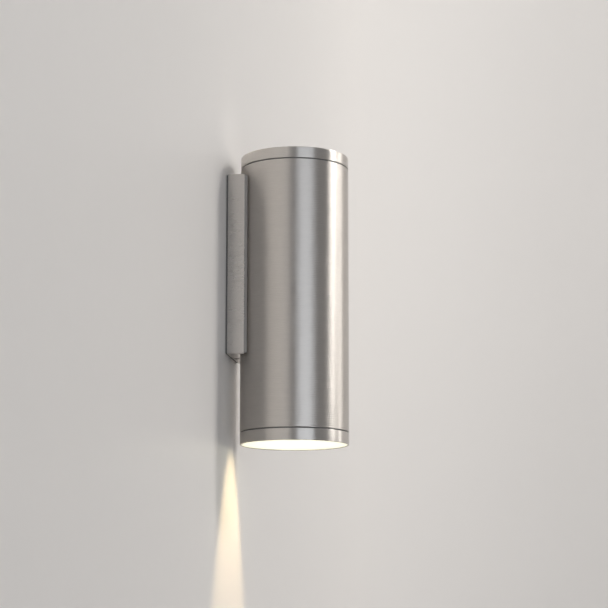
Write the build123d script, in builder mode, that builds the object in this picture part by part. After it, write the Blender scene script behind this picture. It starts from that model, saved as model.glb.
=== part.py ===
"""Tube wall light: a brushed metal tube on a shallow wall box, with a twist-lock reflector lamp inside it.

The wall is the plane Y = 0 and the light stands out of it towards -Y. +Z is up and +X runs along the
wall. The origin is the middle of the wall box's back. All sizes are in millimetres.
"""

from build123d import *
import math
import os

os.makedirs("parts", exist_ok=True)

# ---------------------------------------------------------------- driving dimensions

# The standard reflector lamp that the tube is sized around
lamp_radius = 25.0
lamp_length = 48.0            # front face to the shoulder that the pins stand on
lamp_side_gap = 2.4           # air between the lamp's rim and the tube
lamp_above_lens = 3.0
lamp_rim_height = 4.5
lamp_neck_radius = 14.0
lamp_base_radius = 10.5
lamp_base_height = 14.0
lamp_cup_wall = 2.6
lamp_cup_depth = 13.0
lamp_front_thickness = 2.0
lamp_front_ledge = 1.4        # width of the ledge that the lamp's own front window sits on
lamp_cup_taper = 18.0         # degrees
lamp_flank_bulge = 1.5        # how far the flank bows out of a straight cone at half its height
led_board_thickness = 1.6
led_size = 3.0
led_height = 0.7
led_count = 6
led_circle_share = 0.6        # circle of the LEDs, as a share of the board's radius
driver_room_radius = 7.6
driver_board_width = 13.0
driver_board_thickness = 1.6
driver_room_roof = 5.0        # pin roots and plastic above the driver's room

# Twist-lock pins and their slots
pin_spacing = 10.0
pin_shank_radius = 1.3
pin_shank_length = 4.3
pin_head_radius = 2.45
pin_head_height = 2.7
pin_root_depth = 4.0
lock_turn = 40.0              # degrees from the locked stop to the release holes

# Tube and its two end rings
tube_wall = 2.6
light_height = 161.0          # top of the cap to the rim of the bezel ring
cap_height = 6.1
bezel_height = 6.4
seam_gap = 0.7                # shadow gap between each end ring and the tube
cap_top_thickness = 2.5
spigot_step = 1.2             # how far each turned-down tube end is set in
cap_spigot_length = 3.8
edge_break = 0.35

# Front lens and its ring
lens_thickness = 2.0
lens_seal_thickness = 0.6
lens_seal_width = 1.2
lip_overlap = 1.1
lip_edge = 0.3
bevel_height = 0.9
rim_land = 1.0
seam_seal_inset = 0.6         # how far the seam seals lie inside the tube's surface

# Wall box
tube_gap = 5.4                # wall to the back of the tube
box_width = 38.0
box_height = 100.6
box_depth = 10.2
box_below_top = 11.9          # top of the cap down to the top of the box
cover_wall = 0.6
cover_edge_break = 0.2
wall_seal_thickness = 0.9
wall_seal_width = 2.9
wall_seal_inset = 0.25
saddle_wall = 2.2
saddle_end_wall = 2.4
bar_height = 8.0
bar_back = 2.6                # wall to the back of the saddle's cross bars
end_bar_inset = 9.3           # end of the box to the middle of the outer cross bars
middle_bar_drop = 16.0        # cable entry down to the middle cross bar

# Bracket on the wall
bracket_sheet = 1.5
bracket_width = 28.0
bracket_corner = 3.0
tab_width = 14.0
slot_spacing = 62.0
slot_length = 8.0
slot_width = 4.5
grub_from_wall = 3.3

# Cable entry
entry_radius = 6.0
grommet_bore_radius = 3.5
grommet_flange_width = 2.0
grommet_flange_thickness = 1.0

# Terminal block
pole_pitch = 6.5
pole_count = 3
block_side = 3.25             # plastic outside the outer poles' centres
block_height = 16.0
block_depth = 11.0
block_rise = 18.0             # cable entry up to the middle of the block
block_corner = 0.8
pole_depth = 5.0              # bracket to the middle of the connector tubes
connector_radius = 2.2
connector_bore = 1.25
terminal_screw_reach = 4.2    # middle of the block to each row of terminal screws
terminal_screw_radius = 1.1
terminal_head_radius = 1.6
terminal_head_height = 1.4
terminal_head_sunk = 1.4
fixing_screw_radius = 0.95
fixing_head_radius = 1.7
fixing_head_height = 1.0

# Bracket that carries the lamp holder
holder_sheet = 1.2
leg_width = 18.0
leg_end = 4.6
shelf_radius = 15.5
notch_width = 9.0
notch_clearance = 0.5         # the rear screws' ends to the edge of the shelf's notch

# Ceramic lamp holder
holder_radius = 13.0
holder_height = 22.0
holder_gap = 0.4              # air between the lamp's shoulder and the holder's face
holder_land = 3.6             # ceramic under the pins' heads
holder_screw_circle = 18.0
contact_radius = 1.8
contact_length = 4.2

# Wiring
wire_radius = 1.2
conductor_radius = 0.85
conductor_length = 6.0
wire_rise = 6.0               # top of the block to the wires' highest run
first_bend = 4.8
last_bend = 9.0
earth_bend = 6.0
wire_from_axis = 3.0          # tube axis back to where the wires drop to the holder
wire_seat = 3.5               # how far the wires go into the holder
sleeve_wall = 0.45
sleeve_length = 26.0
window_margin = 0.9           # edge of the tube's rear window to the wires and the block

# Earth connection on the lamp holder's bracket
earth_tag_sheet = 0.8
earth_tag_width = 6.4
earth_tag_rise = 8.0
earth_screw_setback = 3.9     # edge of the bracket's notch to the earth screw
plug_length = 12.0
plug_width = 6.2
plug_thickness = 2.8
plug_lift = 0.6

# Machine screws and nuts, 3 mm thread
screw_radius = 1.5
countersunk_radius = 2.8
countersunk_height = 1.5
pan_head_radius = 2.7
pan_head_height = 2.0
nut_flat = 5.5
nut_height = 2.4
nut_turn = 30.0               # degrees, so that the flats of the shelf's nuts face the wall
screw_past_nut = 0.6
key_flat = 1.6
key_depth = 0.9

# Clearances
thread_clearance = 0.05
slip_clearance = 0.05
seat_clearance = 0.02
moving_clearance = 0.3
screw_clearance = 0.1
lens_side_gap = 0.5
tab_clearance = 0.4

# ---------------------------------------------------------------- sizes worked out from them

tube_bore = lamp_radius + lamp_side_gap
tube_radius = tube_bore + tube_wall
spigot_radius = tube_radius - spigot_step
ring_bore = spigot_radius + thread_clearance
lens_radius = ring_bore - lens_side_gap
lip_radius = lens_radius - lip_overlap
axis_from_wall = tube_gap + tube_radius

top_z = box_height / 2 + box_below_top
rim_z = top_z - light_height
cap_bottom_z = top_z - cap_height
tube_top_z = cap_bottom_z - seam_gap
bezel_top_z = rim_z + bezel_height
tube_bottom_z = bezel_top_z + seam_gap
lens_bottom_z = rim_z + bevel_height + lip_edge
lens_top_z = lens_bottom_z + lens_thickness
spigot_bottom_z = lens_top_z + lens_seal_thickness
spigot_top_z = tube_top_z + cap_spigot_length

lamp_face_z = lens_top_z + lamp_above_lens
lamp_shoulder_z = lamp_face_z + lamp_length
pin_head_z = lamp_shoulder_z + pin_shank_length
pin_tip_z = pin_head_z + pin_head_height
pin_circle_radius = pin_spacing / 2
holder_face_z = lamp_shoulder_z + holder_gap
land_top_z = holder_face_z + holder_land
head_room_top_z = pin_tip_z + 2 * moving_clearance
holder_top_z = holder_face_z + holder_height
shelf_top_z = holder_top_z + holder_sheet

saddle_half_width = box_width / 2 - cover_wall - slip_clearance
saddle_half_height = box_height / 2 - cover_wall - slip_clearance
bracket_half_height = saddle_half_height - saddle_end_wall - tab_clearance
tab_depth = tube_gap - tab_clearance
cable_z = 0.0
end_bar_z = box_height / 2 - end_bar_inset
middle_bar_z = cable_z - middle_bar_drop
bar_heights = [end_bar_z, middle_bar_z, -end_bar_z]
screw_hole_radius = screw_radius + screw_clearance

block_half_width = (pole_count - 1) / 2 * pole_pitch + block_side
block_z = cable_z + block_rise
block_top_z = block_z + block_height / 2
pole_from_wall = bracket_sheet + pole_depth
pole_places = [(i - (pole_count - 1) / 2) * pole_pitch for i in range(pole_count)]
live_x, earth_x, neutral_x = pole_places
wire_top_z = block_top_z + wire_rise
grommet_flange_radius = entry_radius + grommet_flange_width

window_half_width = block_half_width + window_margin
window_bottom_z = cable_z - grommet_flange_radius
window_top_z = wire_top_z + wire_radius + window_margin

leg_outer_radius = tube_bore - seat_clearance
leg_inner_radius = leg_outer_radius - holder_sheet
leg_bottom_z = min(-end_bar_z, holder_top_z) - leg_end
leg_top_z = max(middle_bar_z, shelf_top_z) + leg_end
nut_corner = nut_flat / math.sqrt(3)
leg_nut_seat = math.sqrt(leg_inner_radius**2 - nut_corner**2)
tube_nut_seat = math.sqrt(tube_bore**2 - nut_corner**2)
notch_end = leg_nut_seat - nut_height - screw_past_nut - notch_clearance
earth_screw_y = notch_end - earth_screw_setback
earth_blade_y = earth_screw_y - pan_head_radius - plug_thickness / 2 - moving_clearance
sleeve_radius = wire_radius + seat_clearance + sleeve_wall

# Planes: on the wall plane, offset(d) is d in front of the wall; on the tube plane, offset(z) is height z
wall_plane = Plane.XZ
tube_plane = Plane(origin=(0, -axis_from_wall, 0))
profile_plane = Plane(origin=(0, -axis_from_wall, 0), x_dir=(1, 0, 0), z_dir=(0, -1, 0))
tube_axis = Axis((0, -axis_from_wall, 0), (0, 0, 1))


def save(piece, name):
    """Label a finished piece and write its file."""
    piece.part.label = name
    export_step(piece.part, f"parts/{name}.step")


def tube_cylinder(radius, low_z, high_z, mode=Mode.ADD):
    """A cylinder about the tube's axis between two heights, in the current part."""
    with BuildSketch(tube_plane.offset(low_z)) as disc:
        Circle(radius)
    extrude(disc.sketch, amount=high_z - low_z, mode=mode)


def wall_cylinder(radius, x, z, near, far, mode=Mode.SUBTRACT):
    """A cylinder square to the wall, between two distances from it, in the current part."""
    with BuildSketch(wall_plane.offset(near)) as disc:
        with Locations((x, z)):
            Circle(radius)
    extrude(disc.sketch, amount=far - near, mode=mode)


def hex_key(plane, depth):
    """A hexagonal key recess sunk from the plane, against its normal, in the current part."""
    with BuildSketch(plane) as recess:
        RegularPolygon(key_flat / 2, 6, major_radius=False)
    extrude(recess.sketch, amount=-depth, mode=Mode.SUBTRACT)


def ring_between(inner, outer, low_z, high_z):
    """A plain flat ring about the tube's axis, as a new part."""
    with BuildPart() as ring:
        tube_cylinder(outer, low_z, high_z)
        tube_cylinder(inner, low_z, high_z, Mode.SUBTRACT)
    return ring


# ---------------------------------------------------------------- tube and cap

with BuildPart() as tube_body:
    tube_cylinder(tube_radius, tube_bottom_z, tube_top_z)
    tube_cylinder(spigot_radius, spigot_bottom_z, spigot_top_z)
    tube_cylinder(tube_bore, spigot_bottom_z, spigot_top_z, Mode.SUBTRACT)
    # Rear window, hidden inside the wall box, for the terminal block and the wires
    with BuildSketch(wall_plane.offset(tube_gap)):
        with Locations((0, (window_bottom_z + window_top_z) / 2)):
            Rectangle(2 * window_half_width, window_top_z - window_bottom_z)
    extrude(amount=tube_radius - window_half_width, mode=Mode.SUBTRACT)
    for bar_z in bar_heights:
        wall_cylinder(screw_hole_radius, 0, bar_z, tube_gap, tube_gap + tube_radius / 2)
save(tube_body, "tube_body")

with BuildPart() as top_cap:
    tube_cylinder(tube_radius, cap_bottom_z, top_z)
    chamfer(top_cap.edges().group_by(Axis.Z)[-1], edge_break)
    tube_cylinder(ring_bore, cap_bottom_z, top_z - cap_top_thickness, Mode.SUBTRACT)
save(top_cap, "top_cap")

seam_seal_radius = tube_radius - seam_seal_inset
seam_seal_bore = spigot_radius + seat_clearance
cap_seal = ring_between(seam_seal_bore, seam_seal_radius, tube_top_z, cap_bottom_z)
save(cap_seal, "cap_seal")
bezel_seal = ring_between(seam_seal_bore, seam_seal_radius, bezel_top_z, tube_bottom_z)
save(bezel_seal, "bezel_seal")

# ---------------------------------------------------------------- lens and bezel ring

with BuildPart() as bezel_ring:
    with BuildSketch(profile_plane):
        with BuildLine():
            Polyline(
                (ring_bore, bezel_top_z),
                (tube_radius, bezel_top_z),
                (tube_radius, rim_z),
                (tube_radius - rim_land, rim_z),
                (lip_radius, lens_bottom_z - lip_edge),
                (lip_radius, lens_bottom_z),
                (ring_bore, lens_bottom_z),
                close=True,
            )
        make_face()
    revolve(axis=tube_axis)
save(bezel_ring, "bezel_ring")

with BuildPart() as lens:
    tube_cylinder(lens_radius, lens_bottom_z, lens_top_z)
    chamfer(lens.edges().group_by(Axis.Z)[-1], edge_break)
save(lens, "lens")

lens_seal = ring_between(lens_radius - lens_seal_width, lens_radius, lens_top_z, spigot_bottom_z)
save(lens_seal, "lens_seal")

# ---------------------------------------------------------------- wall box

with BuildPart() as backplate_cover:
    with BuildSketch(wall_plane.offset(wall_seal_thickness)):
        Rectangle(box_width, box_height)
    extrude(amount=box_depth - wall_seal_thickness)
    chamfer(backplate_cover.faces().sort_by(Axis.Y)[0].edges(), cover_edge_break)
    with BuildSketch(wall_plane.offset(wall_seal_thickness)):
        Rectangle(box_width - 2 * cover_wall, box_height - 2 * cover_wall)
    extrude(amount=box_depth - wall_seal_thickness, mode=Mode.SUBTRACT)
    tube_cylinder(tube_radius + slip_clearance, -box_height, box_height, Mode.SUBTRACT)
    for side in (1, -1):
        with BuildSketch(Plane.XY.offset(side * box_height / 2)):
            with Locations((0, -grub_from_wall)):
                Circle(screw_radius + moving_clearance)
        extrude(amount=-side * 2 * cover_wall, mode=Mode.SUBTRACT)
save(backplate_cover, "backplate_cover")

with BuildPart() as saddle:
    saddle_front = tube_gap + tube_radius / 2
    with BuildSketch(wall_plane.offset(wall_seal_thickness)):
        Rectangle(2 * saddle_half_width, 2 * saddle_half_height)
        Rectangle(
            2 * (saddle_half_width - saddle_wall),
            2 * (saddle_half_height - saddle_end_wall),
            mode=Mode.SUBTRACT,
        )
    extrude(amount=saddle_front - wall_seal_thickness)
    with BuildSketch(wall_plane.offset(bar_back)):
        with Locations(*[(0, bar_z) for bar_z in bar_heights]):
            Rectangle(2 * saddle_half_width - saddle_wall, bar_height)
    extrude(amount=saddle_front - bar_back)
    tube_cylinder(tube_radius + seat_clearance, -box_height, box_height, Mode.SUBTRACT)
    for bar_z in bar_heights:
        wall_cylinder(screw_hole_radius, 0, bar_z, bar_back, saddle_front)
        with BuildSketch(wall_plane.offset(bar_back)):
            with Locations((0, bar_z)):
                Circle(countersunk_radius + screw_clearance)
        with BuildSketch(wall_plane.offset(bar_back + countersunk_height)):
            with Locations((0, bar_z)):
                Circle(screw_hole_radius)
        loft(mode=Mode.SUBTRACT)
    for side in (1, -1):
        with BuildSketch(Plane.XY.offset(side * saddle_half_height)):
            with Locations((0, -grub_from_wall)):
                Circle(screw_radius + seat_clearance)
        extrude(amount=-side * saddle_end_wall, mode=Mode.SUBTRACT)
save(saddle, "saddle")

with BuildPart() as wall_seal:
    seal_width = box_width - 2 * wall_seal_inset
    seal_height = box_height - 2 * wall_seal_inset
    with BuildSketch(wall_plane):
        Rectangle(seal_width, seal_height)
        Rectangle(
            seal_width - 2 * wall_seal_width, seal_height - 2 * wall_seal_width, mode=Mode.SUBTRACT
        )
    extrude(amount=wall_seal_thickness)
save(wall_seal, "wall_seal")

# ---------------------------------------------------------------- bracket on the wall

with BuildPart() as wall_bracket:
    with BuildSketch(wall_plane):
        RectangleRounded(bracket_width, 2 * bracket_half_height, bracket_corner)
        with Locations((0, slot_spacing / 2), (0, -slot_spacing / 2)):
            SlotOverall(slot_length, slot_width, rotation=90, mode=Mode.SUBTRACT)
        with Locations((0, cable_z)):
            Circle(entry_radius + seat_clearance, mode=Mode.SUBTRACT)
        with Locations((pole_pitch / 2, block_z), (-pole_pitch / 2, block_z)):
            Circle(fixing_screw_radius + seat_clearance, mode=Mode.SUBTRACT)
    extrude(amount=bracket_sheet)
    tab_z = bracket_half_height - bracket_sheet / 2
    with BuildSketch(wall_plane):
        with Locations((0, tab_z), (0, -tab_z)):
            Rectangle(tab_width, bracket_sheet)
    extrude(amount=tab_depth)
save(wall_bracket, "wall_bracket")

with BuildPart() as grub_screws:
    for side in (1, -1):
        screw_end = Plane(
            origin=(0, -grub_from_wall, side * saddle_half_height),
            x_dir=(1, 0, 0),
            z_dir=(0, 0, side),
        )
        with BuildSketch(screw_end):
            Circle(screw_radius)
        extrude(amount=-(saddle_half_height - bracket_half_height))
        hex_key(screw_end, key_depth)
save(grub_screws, "grub_screws")

with BuildPart() as cable_grommet:
    wall_cylinder(entry_radius, 0, cable_z, 0, bracket_sheet, Mode.ADD)
    wall_cylinder(
        grommet_flange_radius, 0, cable_z, bracket_sheet, bracket_sheet + grommet_flange_thickness, Mode.ADD
    )
    fillet(cable_grommet.edges().group_by(Axis.Y)[0], grommet_flange_thickness / 3)
    wall_cylinder(grommet_bore_radius, 0, cable_z, 0, bracket_sheet + grommet_flange_thickness)
save(cable_grommet, "cable_grommet")

# ---------------------------------------------------------------- screws that hold the tube on the saddle


def clamped_depth(bar_z):
    """Distance from the wall to the face that the nut bears on, for one cross bar's screw."""
    on_leg = leg_bottom_z < bar_z < leg_top_z
    return axis_from_wall - (leg_nut_seat if on_leg else tube_nut_seat)


with BuildPart() as saddle_screws:
    for bar_z in bar_heights:
        with BuildSketch(wall_plane.offset(bar_back)):
            with Locations((0, bar_z)):
                Circle(countersunk_radius)
        with BuildSketch(wall_plane.offset(bar_back + countersunk_height)):
            with Locations((0, bar_z)):
                Circle(screw_radius)
        loft()
        screw_end = clamped_depth(bar_z) + nut_height + screw_past_nut
        wall_cylinder(screw_radius, 0, bar_z, bar_back + countersunk_height, screw_end, Mode.ADD)
        head_plane = Plane(origin=(0, -bar_back, bar_z), x_dir=(1, 0, 0), z_dir=(0, 1, 0))
        hex_key(head_plane, key_depth)
save(saddle_screws, "saddle_screws")

with BuildPart() as saddle_nuts:
    for bar_z in bar_heights:
        with BuildSketch(wall_plane.offset(clamped_depth(bar_z))):
            with Locations((0, bar_z)):
                RegularPolygon(nut_flat / 2, 6, major_radius=False)
                Circle(screw_radius + seat_clearance, mode=Mode.SUBTRACT)
        extrude(amount=nut_height)
save(saddle_nuts, "saddle_nuts")

# ---------------------------------------------------------------- terminal block

screw_rows = (block_z + terminal_screw_reach, block_z - terminal_screw_reach)
block_front = bracket_sheet + block_depth
head_seat = block_front - terminal_head_sunk - terminal_head_height
fixing_places = [(side * pole_pitch / 2, block_z) for side in (1, -1)]

with BuildPart() as terminal_block:
    with BuildSketch(wall_plane.offset(bracket_sheet)):
        with Locations((0, block_z)):
            RectangleRounded(2 * block_half_width, block_height, block_corner)
    extrude(amount=block_depth)
    with BuildSketch(Plane.XY.offset(block_top_z)):
        with Locations(*[(x, -pole_from_wall) for x in pole_places]):
            Circle(connector_radius + seat_clearance)
    extrude(amount=-block_height, mode=Mode.SUBTRACT)
    for x in pole_places:
        for z in screw_rows:
            wall_cylinder(terminal_screw_radius + screw_clearance, x, z, pole_from_wall, block_front)
            wall_cylinder(terminal_head_radius + screw_clearance, x, z, head_seat, block_front)
    for x, z in fixing_places:
        wall_cylinder(fixing_screw_radius + seat_clearance, x, z, bracket_sheet, block_front)
        wall_cylinder(
            fixing_head_radius + screw_clearance, x, z, block_front - fixing_head_height, block_front
        )
save(terminal_block, "terminal_block")

with BuildPart() as terminal_connectors:
    connector_length = block_height - 2 * block_corner
    with BuildSketch(Plane.XY.offset(block_z - connector_length / 2)):
        with Locations(*[(x, -pole_from_wall) for x in pole_places]):
            Circle(connector_radius)
            Circle(connector_bore, mode=Mode.SUBTRACT)
    extrude(amount=connector_length)
    for x in pole_places:
        for z in screw_rows:
            wall_cylinder(terminal_screw_radius + seat_clearance, x, z, pole_from_wall, block_front)
save(terminal_connectors, "terminal_connectors")

with BuildPart() as terminal_screws:
    for x in pole_places:
        for z in screw_rows:
            tip = pole_from_wall + conductor_radius + seat_clearance
            wall_cylinder(terminal_screw_radius, x, z, tip, head_seat, Mode.ADD)
            wall_cylinder(
                terminal_head_radius, x, z, head_seat, head_seat + terminal_head_height, Mode.ADD
            )
            with BuildSketch(wall_plane.offset(head_seat + terminal_head_height)):
                with Locations((x, z)):
                    Rectangle(2 * terminal_head_radius, terminal_head_radius / 3)
            extrude(amount=-terminal_head_height / 2, mode=Mode.SUBTRACT)
save(terminal_screws, "terminal_screws")

with BuildPart() as block_screws:
    for x, z in fixing_places:
        wall_cylinder(fixing_screw_radius, x, z, 0, block_front - fixing_head_height, Mode.ADD)
        wall_cylinder(fixing_head_radius, x, z, block_front - fixing_head_height, block_front, Mode.ADD)
        with BuildSketch(wall_plane.offset(block_front)):
            with Locations((x, z)):
                Rectangle(2 * fixing_head_radius, fixing_head_radius / 3)
        extrude(amount=-fixing_head_height / 2, mode=Mode.SUBTRACT)
save(block_screws, "block_screws")

# ---------------------------------------------------------------- lamp holder and its bracket

holder_screw_places = [(0, holder_screw_circle / 2), (0, -holder_screw_circle / 2)]
wire_places = [(live_x, wire_from_axis), (neutral_x, wire_from_axis)]
wire_hole_radius = sleeve_radius + screw_clearance

with BuildPart() as holder_bracket:
    # Upright leg, rolled to the tube's bore
    tube_cylinder(leg_outer_radius, leg_bottom_z, leg_top_z)
    tube_cylinder(leg_inner_radius, leg_bottom_z, leg_top_z, Mode.SUBTRACT)
    with BuildSketch(tube_plane.offset(leg_bottom_z)):
        with Locations((0, leg_outer_radius / 2)):
            Rectangle(leg_width, leg_outer_radius)
    extrude(amount=leg_top_z - leg_bottom_z, mode=Mode.INTERSECT)
    # Shelf that reaches over the lamp holder
    with BuildSketch(tube_plane.offset(holder_top_z)):
        Circle(leg_outer_radius)
        with Locations((0, leg_outer_radius / 2)):
            Rectangle(leg_width, leg_outer_radius, mode=Mode.INTERSECT)
        Circle(shelf_radius)
        with Locations((0, (notch_end + leg_outer_radius) / 2)):
            Rectangle(notch_width, leg_outer_radius - notch_end, mode=Mode.SUBTRACT)
        with Locations(*holder_screw_places, (0, earth_screw_y)):
            Circle(screw_hole_radius, mode=Mode.SUBTRACT)
        with Locations(*wire_places):
            Circle(wire_hole_radius, mode=Mode.SUBTRACT)
    extrude(amount=holder_sheet)
    # The notch is only in the shelf, so the leg is made whole again behind it
    with BuildSketch(tube_plane.offset(leg_bottom_z)):
        Circle(leg_outer_radius)
        Circle(leg_inner_radius, mode=Mode.SUBTRACT)
        with Locations((0, leg_outer_radius / 2)):
            Rectangle(notch_width, leg_outer_radius, mode=Mode.INTERSECT)
    extrude(amount=leg_top_z - leg_bottom_z)
    for bar_z in bar_heights:
        wall_cylinder(screw_hole_radius, 0, bar_z, tube_gap, axis_from_wall - leg_inner_radius + holder_sheet)
save(holder_bracket, "holder_bracket")


def slot_angles():
    """Start angles of the two pins' slots, in degrees about the tube's axis."""
    return (0, 180)


def pin_slot(half_width, low_z, high_z):
    """Both arc slots that the lamp's pins sweep, from the locked stop to the release holes."""
    for start in slot_angles():
        sweep_line = CenterArc((0, 0), pin_circle_radius, start, -lock_turn, mode=Mode.PRIVATE)
        with BuildSketch(tube_plane.offset(low_z)) as slot:
            SlotArc(sweep_line, 2 * half_width)
        extrude(slot.sketch, amount=high_z - low_z, mode=Mode.SUBTRACT)


with BuildPart() as lamp_holder:
    tube_cylinder(holder_radius, holder_face_z, holder_top_z)
    chamfer(lamp_holder.edges().group_by(Axis.Z)[0], 2 * edge_break)
    pin_slot(pin_shank_radius + moving_clearance, holder_face_z, land_top_z)
    pin_slot(pin_head_radius + moving_clearance, land_top_z, head_room_top_z)
    # Release holes, where the pins' heads pass the land
    with BuildSketch(tube_plane.offset(holder_face_z)):
        with PolarLocations(pin_circle_radius, 2, start_angle=-lock_turn):
            Circle(pin_head_radius + moving_clearance)
    extrude(amount=holder_land, mode=Mode.SUBTRACT)
    # Bores for the spring contacts above the locked pins
    with BuildSketch(tube_plane.offset(head_room_top_z)):
        with PolarLocations(pin_circle_radius, 2):
            Circle(contact_radius + seat_clearance)
    extrude(amount=contact_length, mode=Mode.SUBTRACT)
    with BuildSketch(tube_plane.offset(holder_top_z)):
        with Locations(*wire_places):
            Circle(wire_hole_radius)
    extrude(amount=-(wire_seat + seat_clearance), mode=Mode.SUBTRACT)
    with BuildSketch(tube_plane.offset(holder_face_z)):
        with Locations(*holder_screw_places):
            Circle(screw_hole_radius)
    extrude(amount=holder_height, mode=Mode.SUBTRACT)
    with BuildSketch(tube_plane.offset(holder_face_z)):
        with Locations(*holder_screw_places):
            Circle(pan_head_radius + screw_clearance)
    extrude(amount=pan_head_height + screw_clearance, mode=Mode.SUBTRACT)
save(lamp_holder, "lamp_holder")

with BuildPart() as holder_contacts:
    with BuildSketch(tube_plane.offset(pin_tip_z + moving_clearance)):
        with PolarLocations(pin_circle_radius, 2):
            Circle(contact_radius)
    extrude(amount=contact_length)
save(holder_contacts, "holder_contacts")

with BuildPart() as holder_screws:
    head_top_z = holder_face_z + screw_clearance + pan_head_height
    with BuildSketch(tube_plane.offset(head_top_z)):
        with Locations(*holder_screw_places):
            Circle(pan_head_radius)
    extrude(amount=-pan_head_height)
    with BuildSketch(tube_plane.offset(head_top_z)):
        with Locations(*holder_screw_places):
            Circle(screw_radius)
    extrude(amount=shelf_top_z + nut_height + screw_past_nut - head_top_z)
    for place in holder_screw_places:
        hex_key(
            Plane(
                origin=(place[0], place[1] - axis_from_wall, head_top_z - pan_head_height),
                x_dir=(1, 0, 0),
                z_dir=(0, 0, -1),
            ),
            key_depth,
        )
save(holder_screws, "holder_screws")

with BuildPart() as holder_nuts:
    with BuildSketch(tube_plane.offset(shelf_top_z)):
        with Locations(*holder_screw_places):
            RegularPolygon(nut_flat / 2, 6, major_radius=False, rotation=nut_turn)
            Circle(screw_radius + seat_clearance, mode=Mode.SUBTRACT)
    extrude(amount=nut_height)
save(holder_nuts, "holder_nuts")

# ---------------------------------------------------------------- lamp

lamp_waist_z = lamp_shoulder_z - lamp_base_height
cup_radius = lamp_radius - lamp_cup_wall
cup_floor_radius = cup_radius - lamp_front_ledge - lamp_cup_depth * math.tan(math.radians(lamp_cup_taper))
led_board_radius = cup_floor_radius - seat_clearance
led_board_z = lamp_face_z + lamp_cup_depth
driver_roof_z = lamp_shoulder_z - driver_room_roof

with BuildPart() as lamp_housing:
    with BuildSketch(profile_plane):
        with BuildLine():
            rim_top = lamp_face_z + lamp_rim_height
            flank = Spline(
                (lamp_radius, rim_top),
                (
                    (lamp_radius + lamp_neck_radius) / 2 + lamp_flank_bulge,
                    (rim_top + lamp_waist_z) / 2,
                ),
                (lamp_neck_radius, lamp_waist_z),
            )
            Polyline(
                flank @ 1,
                (0, lamp_waist_z),
                (0, lamp_face_z),
                (lamp_radius, lamp_face_z),
                flank @ 0,
            )
        make_face()
    revolve(axis=tube_axis)
    tube_cylinder(cup_radius, lamp_face_z, lamp_face_z + lamp_front_thickness, Mode.SUBTRACT)
    with BuildSketch(tube_plane.offset(lamp_face_z)):
        Circle(cup_radius - lamp_front_ledge)
    extrude(amount=lamp_cup_depth, taper=lamp_cup_taper, mode=Mode.SUBTRACT)
    tube_cylinder(driver_room_radius, led_board_z, lamp_waist_z, Mode.SUBTRACT)
save(lamp_housing, "lamp_housing")

with BuildPart() as lamp_window:
    tube_cylinder(cup_radius - seat_clearance, lamp_face_z, lamp_face_z + lamp_front_thickness)
save(lamp_window, "lamp_window")

with BuildPart() as led_board:
    tube_cylinder(led_board_radius, led_board_z - led_board_thickness, led_board_z)
save(led_board, "led_board")

with BuildPart() as led_chips:
    with BuildSketch(tube_plane.offset(led_board_z - led_board_thickness)):
        with PolarLocations(led_board_radius * led_circle_share, led_count):
            Rectangle(led_size, led_size)
    extrude(amount=-led_height)
save(led_chips, "led_chips")

with BuildPart() as lamp_base:
    tube_cylinder(lamp_base_radius, lamp_waist_z, lamp_shoulder_z)
    chamfer(lamp_base.edges().group_by(Axis.Z)[-1], 2 * edge_break)
    with BuildSketch(tube_plane.offset(lamp_shoulder_z)):
        with PolarLocations(pin_circle_radius, 2):
            Circle(pin_shank_radius + seat_clearance)
    extrude(amount=-pin_root_depth, mode=Mode.SUBTRACT)
    tube_cylinder(driver_room_radius, lamp_waist_z, driver_roof_z, Mode.SUBTRACT)
save(lamp_base, "lamp_base")

with BuildPart() as driver_board:
    with BuildSketch(tube_plane.offset(led_board_z)):
        Rectangle(driver_board_width, driver_board_thickness)
    extrude(amount=driver_roof_z - led_board_z)
save(driver_board, "driver_board")

with BuildPart() as lamp_pins:
    with BuildSketch(tube_plane.offset(lamp_shoulder_z - pin_root_depth)):
        with PolarLocations(pin_circle_radius, 2):
            Circle(pin_shank_radius)
    extrude(amount=pin_root_depth + pin_shank_length)
    with BuildSketch(tube_plane.offset(pin_head_z)):
        with PolarLocations(pin_circle_radius, 2):
            Circle(pin_head_radius)
    extrude(amount=pin_head_height)
    chamfer(lamp_pins.edges().group_by(Axis.Z)[-1], edge_break)
save(lamp_pins, "lamp_pins")

# ---------------------------------------------------------------- wiring


def insulated_wire(x, drop_y, end_z, bends):
    """One wire: up from its connector, forward over the block, and straight down to its end."""
    with BuildPart() as wire:
        with BuildLine():
            FilletPolyline(
                (x, -pole_from_wall, block_top_z),
                (x, -pole_from_wall, wire_top_z),
                (x, drop_y, wire_top_z),
                (x, drop_y, end_z),
                radius=bends,
            )
        with BuildSketch(Plane.XY.offset(block_top_z)):
            with Locations((x, -pole_from_wall)):
                Circle(wire_radius)
        sweep()
        # Stripped end inside the connector
        with BuildSketch(Plane.XY.offset(block_top_z)):
            with Locations((x, -pole_from_wall)):
                Circle(conductor_radius)
        extrude(amount=-conductor_length)
    return wire


wire_drop_y = wire_from_axis - axis_from_wall
wire_end_z = holder_top_z - wire_seat
live_wire = insulated_wire(live_x, wire_drop_y, wire_end_z, [first_bend, last_bend])
save(live_wire, "live_wire")
neutral_wire = insulated_wire(neutral_x, wire_drop_y, wire_end_z, [first_bend, last_bend])
save(neutral_wire, "neutral_wire")

with BuildPart() as wire_sleeves:
    with BuildSketch(tube_plane.offset(wire_end_z)):
        with Locations(*wire_places):
            Circle(sleeve_radius)
            Circle(wire_radius + seat_clearance, mode=Mode.SUBTRACT)
    extrude(amount=sleeve_length)
save(wire_sleeves, "wire_sleeves")

plug_bottom_z = shelf_top_z + earth_tag_sheet + plug_lift
plug_top_z = plug_bottom_z + plug_length
earth_wire = insulated_wire(earth_x, earth_blade_y - axis_from_wall, plug_top_z, [first_bend, earth_bend])
save(earth_wire, "earth_wire")

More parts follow.
